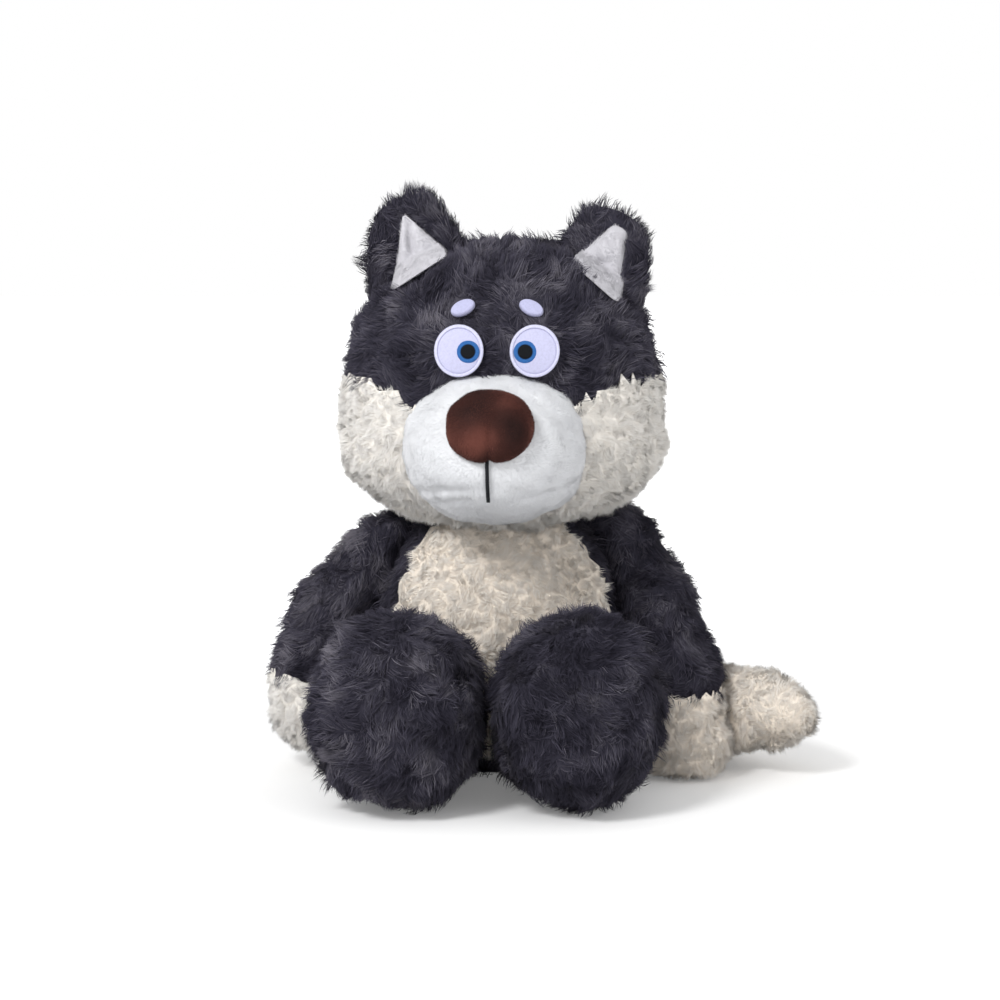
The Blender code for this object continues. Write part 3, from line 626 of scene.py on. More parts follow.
def grow(context, bag, nodes, panels, neighbours=(), bare=None, seed=1):
    """Dresses a bag: every root takes the panel whose solid is nearest, and each panel becomes a piece."""
    husky = context.scene
    rng = np.random.default_rng(seed)
    middles = bag.points[bag.triangles].mean(1)
    facing = unit(bag.normals[bag.triangles].sum(1))
    face_panel = nearest_panel(middles + facing * SKIN_RISE + wander(middles), nodes)
    hidden_faces = np.zeros(len(middles), bool)
    for other in neighbours:
        hidden_faces |= other.holds(middles, HIDDEN_BACKING)
    for panel in panels:
        coat = getattr(husky, panel.coat)
        values = {key: getattr(coat, key) for key in coat.__annotations__} | panel.changes
        form = bag.raised(CREAM_RISE) if panel.slot == "cream_fur" else bag
        keep = (face_panel == nodes.index(panel.node)) & ~hidden_faces
        if panel.half is not None:
            keep &= panel.half(middles)
        parts = [backing_mesh(form, keep, BACKING)]
        layers = ((1, values["density"], 1.0), (0, values["under"], values["under_reach"]))
        for bends, density, reach in layers:
            if not density:
                continue
            roots, normals = form.scatter(density, rng)
            nearest = nearest_panel(roots + normals * SKIN_RISE + wander(roots), nodes)
            mine = nearest == nodes.index(panel.node)
            for other in neighbours:
                mine &= ~other.holds(roots, HIDDEN_ROOT)
            if panel.half is not None:
                mine &= panel.half(roots)
            roots, normals = roots[mine], normals[mine]
            length = np.full(len(roots), reach) if bare is None else bare(roots) * reach
            roots, normals, length = (part[length > 0.05] for part in (roots, normals, length))
            parts.append(lay_strands(roots, normals, length, density, bends, panel, values, rng))
        mesh = joined_mesh(panel.name, parts)
        piece = finished(panel.name, mesh, fur_material(panel.coat, values))
        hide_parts(panel.node)
        print(f"{panel.name}: {len(mesh.loops) - 2 * len(mesh.polygons)} triangles")


def lay_strands(roots, normals, length, density, bends, panel, values, rng):
    """The strands of one panel."""
    count = len(roots)
    steps = np.linspace(0, 1, bends + 2)
    flow = panel.lie(roots)
    flow = unit(flow - normals * (flow * normals).sum(1, keepdims=True))
    flow = turned(flow, normals, values["swirl"] * ripple(roots, 0.055, 11))
    per_root = 1.0 / (density * 1e6)
    tuft, tuft_heads = gathered(roots, per_root / values["tuft"] ** 2, rng)
    lock, lock_heads = gathered(roots, per_root / values["lock"] ** 2, rng)
    turn = rng.normal(size=len(tuft_heads)) * values["scatter"]
    rise = rng.normal(size=len(tuft_heads)).clip(-2, 1.4) * math.radians(13)
    reach = 1 + values["ragged"] * 0.35 * rng.normal(size=len(tuft_heads)).clip(-2, 1.2)
    flow = turned(flow, normals, turn[tuft] + rng.normal(size=count) * values["scatter"] * 0.25)
    crease = values["crease"] * np.exp(-(ripple(roots, 0.045, 51) / 0.10) ** 2)
    lengths = values["length"] * length * reach[tuft] * (1 - crease)
    lengths *= 1 + values["ragged"] * 0.5 * rng.uniform(-1, 1, count)
    lean = rise[tuft] + rng.normal(size=count) * math.radians(4)
    leans = [np.clip(values[key] + lean, 0.0, math.radians(88)) for key in ("root_lean", "tip_lean")]
    lines = lay(roots, normals, flow, lengths, leans, steps)
    for groups, heads, pull in ((tuft, tuft_heads, "tuft_pull"), (lock, lock_heads, "lock_pull")):
        gather = values[pull] * steps[:, None, None] ** 1.3
        lines = lines + gather * (lines[:, heads][:, groups] - lines)
    stray = rng.normal(size=lines.shape) * values["frizz"] * (steps ** 0.7)[:, None, None]
    lines = lines + stray
    lines[:, :, 2] = np.maximum(lines[:, :, 2], FLOOR_CLEAR + values["width"] / 2)
    widths = values["width"] * rng.uniform(0.7, 1.2, count)
    # The panel's shade is painted light and shade. The patchy and speckled tone is partly the pile's own uneven
    # colour and partly painted sheen.
    tones = 0.46 + panel.shade + values["patchy"] * ripple(roots, 0.028, 21)
    tones += 0.7 * values["speckle"] * rng.normal(size=len(tuft_heads))[tuft]
    # Along the creases the tone is lowered as well as the pile shortened: painted shade in the partings.
    tones = np.clip(tones - 0.5 * crease + values["speckle"] * rng.normal(size=count), 0, 1)
    return strand_mesh(lines, steps, widths, bends, tones, normals, values["even"], rng)


# Materials

def new_material(name):
    """A new material, its nodes and its links."""
    material = bpy.data.materials.new(name)
    material.use_nodes = True
    return material, material.node_tree.nodes, material.node_tree.links


def add_ramp(nodes, stops):
    """A ramp of colours at places from 0 to 1."""
    ramp = nodes.new("ShaderNodeValToRGB")
    while len(ramp.color_ramp.elements) < len(stops):
        ramp.color_ramp.elements.new(0.5)
    for element, (place, colour) in zip(ramp.color_ramp.elements, stops):
        element.position = place
        element.color = (*colour, 1.0)
    return ramp


def multiplied(nodes, links, first, second):
    """The product of two colours."""
    mix = nodes.new("ShaderNodeMix")
    mix.data_type, mix.blend_type = "RGBA", "MULTIPLY"
    mix.inputs["Factor"].default_value = 1.0
    links.new(first, mix.inputs[6])
    links.new(second, mix.inputs[7])
    return mix.outputs[2]


def streaked(nodes, links, scale, detail, stops):
    """Colours of a ramp, mixed by fine noise on Object coordinates."""
    place = nodes.new("ShaderNodeTexCoord")
    noise = nodes.new("ShaderNodeTexNoise")
    noise.inputs["Scale"].default_value = scale
    noise.inputs["Detail"].default_value = detail
    links.new(place.outputs["Object"], noise.inputs["Vector"])
    ramp = add_ramp(nodes, stops)
    links.new(noise.outputs["Fac"], ramp.inputs["Fac"])
    return ramp.outputs["Color"]


def surfaced(nodes, links, colour, roughness, shine):
    """Gives the surface its colour, roughness and shine."""
    shader = nodes["Principled BSDF"]
    links.new(colour, shader.inputs["Base Color"])
    shader.inputs["Roughness"].default_value = roughness
    shader.inputs["Specular IOR Level"].default_value = shine
    return shader


def fur_material(name, values):
    """Pile: its map runs over the strands' tones in one direction and from root to tip in the other."""
    found = bpy.data.materials.get(name)
    if found:
        return found
    material, nodes, links = new_material(name)
    places = nodes.new("ShaderNodeUVMap")
    places.uv_map = UV_NAME
    split = nodes.new("ShaderNodeSeparateXYZ")
    links.new(places.outputs["UV"], split.inputs["Vector"])
    dark, middle, light = (tuple(values[key]) for key in ("dark", "middle", "light"))
    tone = add_ramp(nodes, [(0.05, dark), (0.5, middle), (0.95, light)])
    root = np.array(values["root"])
    # Towards its root each strand is painted darker, and cream warmer: painted shade of the pile's depths.
    length = add_ramp(nodes, [
        (0.0, tuple(root * 0.94)), (0.1, tuple(root)), (0.55, tuple((1 + root) / 2)), (1.0, (1.0, 1.0, 1.0))
    ])
    links.new(split.outputs["X"], tone.inputs["Fac"])
    links.new(split.outputs["Y"], length.inputs["Fac"])
    colour = multiplied(nodes, links, tone.outputs["Color"], length.outputs["Color"])
    shader = surfaced(nodes, links, colour, values["roughness"], 0.12)
    shader.inputs["Sheen Weight"].default_value = values["sheen"]
    shader.inputs["Sheen Roughness"].default_value = 0.5
    shader.inputs["Sheen Tint"].default_value = (*values["light"], 1.0)
    return material


def thread_material(name, colour):
    """Embroidery thread: fine streaks, a little lighter and darker than its colour."""
    found = bpy.data.materials.get(name)
    if found:
        return found
    material, nodes, links = new_material(name)
    low, high = (tuple(min(part * scale, 1.0) for part in colour) for scale in (0.93, 1.05))
    stops = [(0.3, low), (0.5, tuple(colour)), (0.7, high)]
    surfaced(nodes, links, streaked(nodes, links, 900.0, 2.0, stops), 0.6, 0.25)
    return material


def finished(name, mesh, material):
    """A finished piece on the object's one body."""
    obj = bpy.data.objects.new(name, mesh)
    bpy.context.scene.collection.objects.link(obj)
    mesh.materials.clear()
    mesh.materials.append(material)
    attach(obj, "root")
    return obj


# The bags' forms, made once and shared by the operators

FORMS = {}

# How far the fabric lies inside the fur's tips, and how much higher the cream fabric lies
PILE_INSET = 0.0052
CREAM_RISE = 0.0020
CHARCOAL = ("husky_charcoal", "charcoal_fur")
CREAM = ("husky_cream", "cream_fur")
WARM = ("husky_warm", "cream_fur")


# The head's widest height, its half-width, its reach forward, back and up from there, and its squareness
HEAD_MIDDLE, HEAD_WIDE, HEAD_FRONT, HEAD_BACK, HEAD_TOP, HEAD_SQUARE = 0.062, 0.093, 0.080, 0.076, 0.106, 2.4
# The same of the muzzle, which is as tall below its middle as above it
MUZZLE_HEIGHT, MUZZLE_WIDE, MUZZLE_REACH, MUZZLE_BACK, MUZZLE_TALL, MUZZLE_SQUARE = (
    0.053, 0.0535, 0.081, 0.038, 0.044, 2.15
)


def head_shape():
    """The head, in the whole object's frame."""
    low, high = (HEAD_WIDE, HEAD_FRONT, HEAD_MIDDLE), (HEAD_WIDE, HEAD_BACK, HEAD_TOP)
    return placed(cushion(low, high, (0, 0, HEAD_MIDDLE), HEAD_SQUARE), HEAD_TURN, HEAD_PLACE)


def muzzle_centre():
    """How far back the muzzle's middle lies in the face, in the head's frame."""
    return face_front(np.zeros(1), np.array((MUZZLE_HEIGHT,)))[0] + MUZZLE_BACK


def muzzle_front(z):
    """How far forward the muzzle stands along its middle, in the head's frame."""
    left = 1 - np.abs((z - MUZZLE_HEIGHT) / MUZZLE_TALL) ** MUZZLE_SQUARE
    return muzzle_centre() - MUZZLE_REACH * np.maximum(left, 0.0) ** (1 / MUZZLE_SQUARE)


def muzzle_shape():
    """The muzzle, whose back lies in the face."""
    low, high = (MUZZLE_WIDE, MUZZLE_REACH, MUZZLE_TALL), (MUZZLE_WIDE, MUZZLE_BACK, MUZZLE_TALL)
    middle = (0, muzzle_centre(), MUZZLE_HEIGHT)
    return placed(cushion(low, high, middle, MUZZLE_SQUARE), HEAD_TURN, HEAD_PLACE)


def torso_shape():
    """The pear-shaped body."""
    return cushion((0.076, 0.066, 0.074), (0.076, 0.066, 0.105), (0, 0, 0.062), 2.3)


# Where the feet's fur meets the legs'
ANKLE = -0.11

# Each arm's line from its shoulder over its elbow to its paw, and its radii there
ARMS = {
    -1: (((-0.044, 0, 0.152), (-0.128, -0.009, 0.072), (-0.098, -0.010, 0.016)), (0.020, 0.030, 0.034)),
    1: (((0.055, 0, 0.152), (0.105, -0.009, 0.095), (0.102, -0.038, -0.006)), (0.023, 0.027, 0.036)),
}


def arm_shape(side):
    """An arm that hangs beside the body, with its paw."""
    line, radii = ARMS[side]
    return limb(line, radii, radii, (0, 1, 0), 3.0, 2.0)


def leg_shape(side):
    """A leg that lies forward on the floor, and its large foot."""
    middle = side * 0.0485 - 0.008
    widths, heights = (0.036, 0.043, 0.06125), (0.036, 0.043, 0.0725)
    line = [
        (side * 0.040, 0, heights[0] - 0.004),
        (middle, -0.068, heights[1] - 0.004),
        (middle, -0.155, heights[2] - 0.004),
    ]
    return limb(line, widths, heights, (1, 0, 0), 2.7, 2.3)


def tail_shape():
    """The tail, which bends round the right side to the paw."""
    line = [(0, 0.055, 0.019), (0.118, 0.062, 0.025), (0.167, -0.052, 0.039)]
    radii = (0.022, 0.028, 0.0285)
    return limb(line, radii, radii, (0, 0, 1), 2.8, 2.0)


EAR_HEIGHTS = {-1: 0.1497, 1: 0.1440}
EAR_PLACES = {-1: -0.0422, 1: 0.0495}
EAR_TILTS = {-1: math.radians(2.0), 1: math.radians(10.0)}
# Where the linings' middles lie in Y, their half-thickness, how far back fur makes room, and their corners
LINING_FORWARD, LINING_THICK, LINING_REACH = -0.0235, 0.0055, -0.0185
LININGS = {
    -1: ((-0.0552, 0.3195), (-0.0608, 0.2740), (-0.0275, 0.2955)),
    1: ((0.0628, 0.3135), (0.0717, 0.3085), (0.0670, 0.2675), (0.0385, 0.2920)),
}


def clear_of_linings(points):
    """How much of its length fur keeps in front of the ears' linings and beside them."""
    left = np.ones(len(points))
    for corners in LININGS.values():
        centre, out, away = polygon_sides(corners)
        depth = (away - (points[:, (0, 2)] - centre) @ out.T).min(1)
        near = np.where(depth > 0.0006, 0.0, np.clip(0.55 - depth / 0.006, 0.55, 1.0))
        left = np.where(points[:, 1] < LINING_REACH, np.minimum(left, near), left)
    return left


def ear_place(side):
    """How an ear is turned, and where its middle is."""
    turn = HEAD_TURN @ np.array(Matrix.Rotation(side * EAR_TILTS[side], 3, "Y"))
    return turn, on_head(np.array((EAR_PLACES[side], -0.010, EAR_HEIGHTS[side])))


EYES, EYE_HEIGHT, SQUINT = {-1: -0.0191, 1: 0.0219}, 0.1061, 0.0051
BROWS, BROW_HEIGHT, BROW_TILT = {-1: -0.0177, 1: 0.0199}, 0.1297, math.radians(24.0)


def face_front(x, z):
    """How far forward the head's form stands, in its own frame."""
    tall = np.where(z > HEAD_MIDDLE, HEAD_TOP, HEAD_MIDDLE)
    left = 1 - np.abs(x / HEAD_WIDE) ** HEAD_SQUARE - np.abs((z - HEAD_MIDDLE) / tall) ** HEAD_SQUARE
    return -HEAD_FRONT * np.maximum(left, 0.0) ** (1 / HEAD_SQUARE)


def on_face(x, z, lift):
    """Points above the front of the head, from places on a flat drawing of the face."""
    step = 1e-4
    slope_x = (face_front(x + step, z) - face_front(x - step, z)) / (2 * step)
    slope_z = (face_front(x, z + step) - face_front(x, z - step)) / (2 * step)
    facing = unit(np.stack((slope_x, np.full_like(x, -1.0), slope_z), axis=1))
    surface = np.stack((x, face_front(x, z), z), axis=1)
    return on_head(surface + facing * np.broadcast_to(lift, x.shape)[:, None])


def soft_dents(points):
    """Shallow dents and folds in the smooth muzzle, as its stuffing leaves them."""
    spots = from_head(points)
    deep = 0.0007 * ripple(spots, 0.034, 71) + 0.00045 * ripple(spots * (1, 1, 2.2), 0.020, 72)
    for x, z, wide, tall, depth in (
        (-0.026, 0.033, 0.017, 0.0024, 0.0019), (-0.022, 0.026, 0.015, 0.0022, 0.0014),
        (0.027, 0.031, 0.015, 0.0024, 0.0017), (0.0, 0.040, 0.0030, 0.014, 0.0010),
    ):
        aside = spots[:, 0] - x
        above = spots[:, 2] - z - 0.15 * aside
        deep = deep + depth * np.exp(-(aside / wide) ** 2 - (above / tall) ** 2)
    outward = unit(spots - np.array((0.0, -0.06, 0.053)))
    return on_head(spots - outward * np.maximum(deep, -0.0012)[:, None])


def folded(side):
    """A fold in an ear's lining, whose lower end lies on the head."""
    def press(points):
        if side < 0:
            line, wide = points[:, 0] + 0.0512 + 0.10 * (points[:, 2] - 0.31), 0.0028
            share = np.clip((points[:, 2] - 0.288) / 0.012, 0, 1)
        else:
            line, wide = points[:, 2] - 0.2895 - 0.10 * (points[:, 0] - 0.05), 0.0030
            share = np.clip((0.0650 - points[:, 0]) / 0.008, 0, 1)
        front = points[:, 1] < LINING_FORWARD
        spots = from_head(points)
        behind = points[:, 1] - LINING_FORWARD + LINING_THICK
        resting = face_front(spots[:, 0], spots[:, 2]) + 0.0026 + 0.2 * behind
        spots[:, 1] = np.where(front & (resting < -0.001), np.minimum(spots[:, 1], resting), spots[:, 1])
        moved = on_head(spots)
        moved[:, 1] += (0.0036 if side < 0 else 0.0020) * np.exp(-(line / wide) ** 2) * share * front
        return moved
    return press


def behind_face(points):
    """How freely cloth settles: not at all in front, where the face is sewn on."""
    return np.clip((from_head(points)[:, 1] + 0.050) / 0.035, 0.0, 1.0)


def make_forms(stuffing):
    """All the bags, a pile's depth inside the fur's tips."""
    rest = {"swell": stuffing, "lump": 0.0012}
    floor = PILE_INSET - 0.0015
    FORMS["head"] = Form("head", head_shape(), PILE_INSET, 5, held=behind_face, **rest)
    FORMS["muzzle"] = Form(
        "muzzle", muzzle_shape(), 0.0010, 6, press=soft_dents, swell=stuffing, held=behind_face
    )
    FORMS["torso"] = Form("torso", torso_shape(), PILE_INSET, 5, floor=floor, **rest)
    FORMS["tail"] = Form("tail", tail_shape(), PILE_INSET, 5, floor=floor, **rest)
    for side, name in SIDES:
        wall = [((side * 0.003 - 0.008, 0, 0), (-side, 0, 0))]
        leg, arm = f"leg_{name}", f"arm_{name}"
        FORMS[leg] = Form(leg, leg_shape(side), PILE_INSET, 5, floor=floor, walls=wall, **rest)
        FORMS[arm] = Form(arm, arm_shape(side), PILE_INSET, 5, floor=floor, **rest)
        turn, move = ear_place(side)
        ear = placed(leaf(0.037, 0.0125, 0.044, 0.02, 0.58, side, 0.35), turn, move)
        FORMS[f"ear_{name}"] = Form(f"ear_{name}", ear, 0.0045, 4)
        lining = placed(flat_cushion(LININGS[side], LINING_THICK), np.eye(3), (0, LINING_FORWARD, 0))
        FORMS[f"lining_{name}"] = Form(f"lining_{name}", lining, 0.0006, 5, press=folded(side))


# Lies of the fur, in the whole object's frame

def away_from(centre, pull=(0, 0, 0)):
    """A lie that spreads from a centre, with a pull to one side."""
    centre, pull = np.array(centre, float), np.array(pull, float)

    def lie(points):
        return unit(points - centre) + pull
    return lie


def along(way):
    """A lie in one direction."""
    def lie(points):
        return np.broadcast_to(np.array(way, float), points.shape)
    return lie


def crown_lie(points):
    """Away from the face and the eyes in front, and down the back of the head."""
    back = np.clip((points[:, 1] + 0.01) / 0.05, 0, 1)[:, None]
    front = unit(points - on_head(np.array((0.0, -0.088, 0.094)))) + (0, 0, -0.10)
    for side, _ in SIDES:
        eye = on_face(np.array((EYES[side],)), np.array((EYE_HEIGHT,)), 0.0)
        apart = points - eye
        far = np.linalg.norm(apart, axis=1, keepdims=True)
        front = front + 2.0 * unit(apart) * np.exp(-(np.maximum(far - 0.014, 0) / 0.005) ** 2)
    return front * (1 - back) + np.array((0, 0.15, -1.0)) * back


def ear_lie(side):
    """Up an ear from its root."""
    turn, move = ear_place(side)
    root = move + turn @ np.array((0, 0, -0.05))

    def lie(points):
        return unit(points - root) + (0, 0, 0.3)
    return lie


class HUSKY_OT_head(bpy.types.Operator):
    """Grow the crown and the two cheeks"""

    bl_idname = "husky.head"
    bl_label = "Head"

    def execute(self, context):
        face = context.scene.husky_face

        def clear_of_eyes(points):
            spots = from_head(points)
            left = clear_of_linings(points)
            for side, _ in SIDES:
                far = np.hypot(spots[:, 0] - EYES[side], spots[:, 2] - EYE_HEIGHT)
                near = np.clip((far - face.eye_diameter * 0.44) / 0.004, 0, 1)
                brow = np.hypot((spots[:, 0] - BROWS[side]) / 1.6, spots[:, 2] - BROW_HEIGHT)
                near = np.minimum(near, np.clip((brow - 0.0035) / 0.004, 0, 1))
                left = np.where(spots[:, 1] < 0, np.minimum(left, near), left)
            return left

        nodes = ["crown_skin", "cheek_skin_left", "cheek_skin_right"]
        panels = []
        for side, name in SIDES:
            def half(points, side=side):
                return from_head(points)[:, 0] * side >= 0
            # The crown's tone is raised a little: painted light on the top of the head.
            panels.append(Panel(f"crown_fur_{name}", "crown_skin", *CHARCOAL, crown_lie, half, 0.02))
        cheek = away_from(on_head(MUZZLE_MIDDLE), (0, 0, -0.35))
        for side, name in SIDES:
            # The right cheek's tone is lowered: painted shade on the side away from the light.
            shade = -0.14 * (side + 1)
            panels.append(Panel(f"cheek_fur_{name}", f"cheek_skin_{name}", *CREAM, cheek, shade=shade))
        beside = [FORMS[part] for part in ("muzzle", "torso", "ear_left", "ear_right")]
        grow(context, FORMS["head"], nodes, panels, beside, clear_of_eyes, seed=3)
        return {"FINISHED"}


class HUSKY_OT_muzzle(bpy.types.Operator):
    """Make the smooth, short-piled muzzle"""

    bl_idname = "husky.muzzle"
    bl_label = "Muzzle"

    def execute(self, context):
        lie = away_from(on_head(np.array((0.0, -0.12, 0.062))))
        panels = [Panel("muzzle_plush", "muzzle_skin", "husky_muzzle", "muzzle_plush", lie)]
        grow(context, FORMS["muzzle"], ["muzzle_skin"], panels, [FORMS["head"]], seed=4)
        return {"FINISHED"}


class HUSKY_OT_nose(bpy.types.Operator):
    """Make the stuffed velvet nose"""

    bl_idname = "husky.nose"
    bl_label = "Nose"

    def execute(self, context):
        centre = on_head(np.array((0.0, muzzle_front(0.071), 0.0692)))
        turn = HEAD_TURN @ np.array(Matrix.Rotation(math.radians(-24.0), 3, "X"))
        half = (0.0243, 0.012, 0.0205)
        shape = placed(cushion(half, half, (0, 0, 0), 2.2), turn, centre)

        def tucked(points):
            spots = (points - centre) @ turn
            tuck = np.exp(-(spots[:, 0] / 0.0018) ** 2) * np.clip(-spots[:, 2] / 0.008, 0, 1)
            puff = 0.0004 * ripple(spots, 0.016, 81)
            return points - unit(points - centre) * (0.0016 * tuck + puff + 0.0004)[:, None]

        form = Form("nose", shape, 0.0006, 5, press=tucked)
        panels = [Panel("nose_velvet", "nose", "husky_nose", "nose_velvet", along((0.3, 0, -1)))]
        grow(context, form, ["nose"], panels, [FORMS["muzzle"]], seed=5)
        return {"FINISHED"}


# Embroidery: flat shapes drawn on the face, and stitches laid over them

def sewn(name, bm, material, node):
    """Lays a flat drawing on the face: its x and y are places there, and its z is the height above it."""
    flat = np.array([vert.co for vert in bm.verts])
    for vert, point in zip(bm.verts, on_face(flat[:, 0], flat[:, 1], flat[:, 2])):
        vert.co = point
    bmesh.ops.recalc_face_normals(bm, faces=bm.faces[:])
    mesh = bpy.data.meshes.new(name)
    bm.to_mesh(mesh)
    bm.free()
    mesh.polygons.foreach_set("use_smooth", np.ones(len(mesh.polygons), bool))
    piece = finished(name, mesh, material)
    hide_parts(node)


def satin(middle, width, height, turn, thread, dome, lift):
    """A closed padded oval of satin stitch: ridges of thread run up it, and its edge turns down."""
    bm = bmesh.new()
    threads = max(6, round(width / thread))
    bmesh.ops.create_grid(bm, x_segments=4 * threads, y_segments=max(12, 2 * threads // 3), size=1.0)
    bmesh.ops.solidify(bm, geom=bm.faces[:], thickness=0.4)
    flat = np.array([vert.co for vert in bm.verts])
    top = flat[:, 2] > flat[:, 2].mean()
    across, up = flat[:, 0], flat[:, 1] * np.sqrt(np.maximum(1 - flat[:, 0] ** 2, 0.0))
    far = np.minimum(np.hypot(across, up), 1.0)
    ridge = np.abs(np.sin(math.pi * (across + 1) / 2 * threads)) * thread * 0.25
    over = lift + dome * (1 - far ** 2) + ridge - 0.0016 * np.clip((far - 0.84) / 0.16, 0, 1) ** 2
    x, z = across * width / 2, up * height / 2
    right = middle[0] + x * math.cos(turn) - z * math.sin(turn)
    high = middle[1] + x * math.sin(turn) + z * math.cos(turn)
    for vert, *place in zip(bm.verts, right, high, np.where(top, over, lift - 0.0030)):
        vert.co = place
    bmesh.ops.remove_doubles(bm, verts=bm.verts[:], dist=1e-6)
    return bm


def stitched_ring(middle, width, height, stitch, reach, lift):
    """A ring of short round stitches, each laid across the edge of an oval."""
    bm = bmesh.new()
    count = round(math.pi * (width + height) / 2 / stitch)
    for index in range(count):
        angle = 2 * math.pi * index / count
        fresh = bmesh.ops.create_uvsphere(bm, u_segments=8, v_segments=5, radius=1.0)["verts"]
        bmesh.ops.scale(bm, verts=fresh, vec=(reach, stitch * 0.60, 0.00050))
        bmesh.ops.rotate(bm, verts=fresh, cent=(0, 0, 0), matrix=Matrix.Rotation(angle + 0.12, 3, "Z"))
        right = middle[0] + (width / 2 - reach) * math.cos(angle)
        high = middle[1] + (height / 2 - reach) * math.sin(angle)
        bmesh.ops.translate(bm, verts=fresh, vec=(right, high, lift))
    return bm


def ring_material(name, centre, stops):
    """Thread whose colour changes with the distance from a centre."""
    material, nodes, links = new_material(name)
    place = nodes.new("ShaderNodeTexCoord")
    far = nodes.new("ShaderNodeVectorMath")
    far.operation = "DISTANCE"
    far.inputs[1].default_value = centre
    links.new(place.outputs["Object"], far.inputs[0])
    reach = nodes.new("ShaderNodeMath")
    reach.operation = "DIVIDE"
    reach.inputs[1].default_value = stops[-1][0]
    links.new(far.outputs["Value"], reach.inputs[0])
    ramp = add_ramp(nodes, [(far_off / stops[-1][0], colour) for far_off, colour in stops])
    links.new(reach.outputs["Value"], ramp.inputs["Fac"])
    shade = streaked(nodes, links, 1400.0, 2.0, [(0.35, (0.78, 0.78, 0.78)), (0.65, (1.0, 1.0, 1.0))])
    surfaced(nodes, links, multiplied(nodes, links, ramp.outputs["Color"], shade), 0.8, 0.15)
    return material


class HUSKY_OT_eyes(bpy.types.Operator):
    """Sew the eyes and the brows"""

    bl_idname = "husky.eyes"
    bl_label = "Eyes and Brows"

    def execute(self, context):
        face = context.scene.husky_face
        white = thread_material("husky_eye_satin", face.white)
        brow_thread = thread_material("husky_brow_satin", face.brow)
        rim = thread_material("husky_rim_satin", face.rim)
        wide, tall = face.eye_diameter, face.eye_diameter * 1.04
        blue, black = np.array(face.blue), np.array(face.black)
        inner, outer = face.pupil_diameter / 2, face.iris_diameter / 2
        stops = [
            (0.0, tuple(black)), (inner * 0.94, tuple(black)), (inner * 1.0, tuple(blue * 0.2)),
            (inner * 1.12, tuple(blue)), (inner * 0.25 + outer * 0.75, tuple(blue)),
            (outer, tuple(0.5 * blue + 0.25)),
        ]
        for side, name in SIDES:
            eye = (EYES[side], EYE_HEIGHT)
            gaze = (eye[0] - side * SQUINT, EYE_HEIGHT - 0.0005)
            disc = satin(eye, wide - 0.0016, tall - 0.0016, 0.0, face.stitch, 0.0006, -0.0002)
            sewn(f"eye_disc_{name}", disc, white, f"eye_white_{name}")
            ring = stitched_ring(eye, wide, tall, face.stitch * 1.2, 0.0011, 0.0)
            sewn(f"eye_rim_{name}", ring, rim, f"eye_white_{name}")
            for what, size, slot, lift in (
                ("iris", face.iris_diameter, "blue_thread", 0.0006),
                ("pupil", face.pupil_diameter, "black_thread", 0.0010),
            ):
                middle = on_face(*(np.array((part,)) for part in gaze), lift)[0]
                material = ring_material(f"husky_{what}_{name}", middle, stops)
                patch = satin(gaze, size, size, 0.0, face.stitch, 0.0002, lift)
                sewn(f"{what}_{name}", patch, material, f"{what}_{name}")
            brow = (BROWS[side], BROW_HEIGHT)
            patch = satin(brow, 0.0142, 0.0078, -side * BROW_TILT, face.stitch * 1.2, 0.0004, -0.0004)
            sewn(f"brow_{name}", patch, brow_thread, f"brow_{name}")
        return {"FINISHED"}


class HUSKY_OT_mouth(bpy.types.Operator):
    """Lay the twisted thread of the mouth"""

    bl_idname = "husky.mouth"
    bl_label = "Mouth"

    def execute(self, context):
        face = context.scene.husky_face
        curve = bpy.data.curves.new("mouth", "CURVE")
        curve.dimensions, curve.bevel_depth, curve.bevel_resolution = "3D", 0.00062, 2
        curve.use_fill_caps = True
        drop = np.linspace(0.0530, 0.0285, 70)
        tucked = -0.0010 * (np.linspace(-1, 1, 70) ** 8)
        for phase in (0.0, math.pi):
            turn = phase + drop / 0.0032 * 2 * math.pi
            front = muzzle_front(drop) - tucked - 0.00035
            aside = 0.0005 * np.cos(turn) - 0.0011
            points = on_head(np.stack((aside, front - 0.0005 * np.sin(turn), drop), axis=1))
            strand = curve.splines.new("POLY")
            strand.points.add(len(points) - 1)
            strand.points.foreach_set("co", np.c_[points, np.ones(len(points))].ravel())
        holder = bpy.data.objects.new("mouth", curve)
        mesh = bpy.data.meshes.new_from_object(holder)
        bpy.data.objects.remove(holder)
        mesh.name = "mouth_thread"
        mesh.polygons.foreach_set("use_smooth", np.ones(len(mesh.polygons), bool))
        black = thread_material("husky_mouth_cord", face.black)
        piece = finished("mouth_twist", mesh, black)
        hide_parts("mouth_thread")
        return {"FINISHED"}


class HUSKY_OT_ears(bpy.types.Operator):
    """Grow the ears and their pale linings"""

    bl_idname = "husky.ears"
    bl_label = "Ears"

    def execute(self, context):
        for side, name in SIDES:
            ear, lining = f"ear_{name}", f"ear_lining_{name}"
            inside = FORMS[f"lining_{name}"]
            panels = [Panel(
                f"ear_fur_{name}", ear, *CHARCOAL, ear_lie(side),
                root_lean=math.radians(36), tip_lean=math.radians(76), density=0.48,
            )]
            beside = [FORMS["head"], inside]
            grow(context, FORMS[ear], [ear], panels, beside, clear_of_linings, seed=7 + side)
            panels = [Panel(f"ear_plush_{name}", lining, "husky_ear", "ear_plush", ear_lie(side))]
            grow(context, inside, [lining], panels, [FORMS["head"]], seed=17 + side)
        return {"FINISHED"}


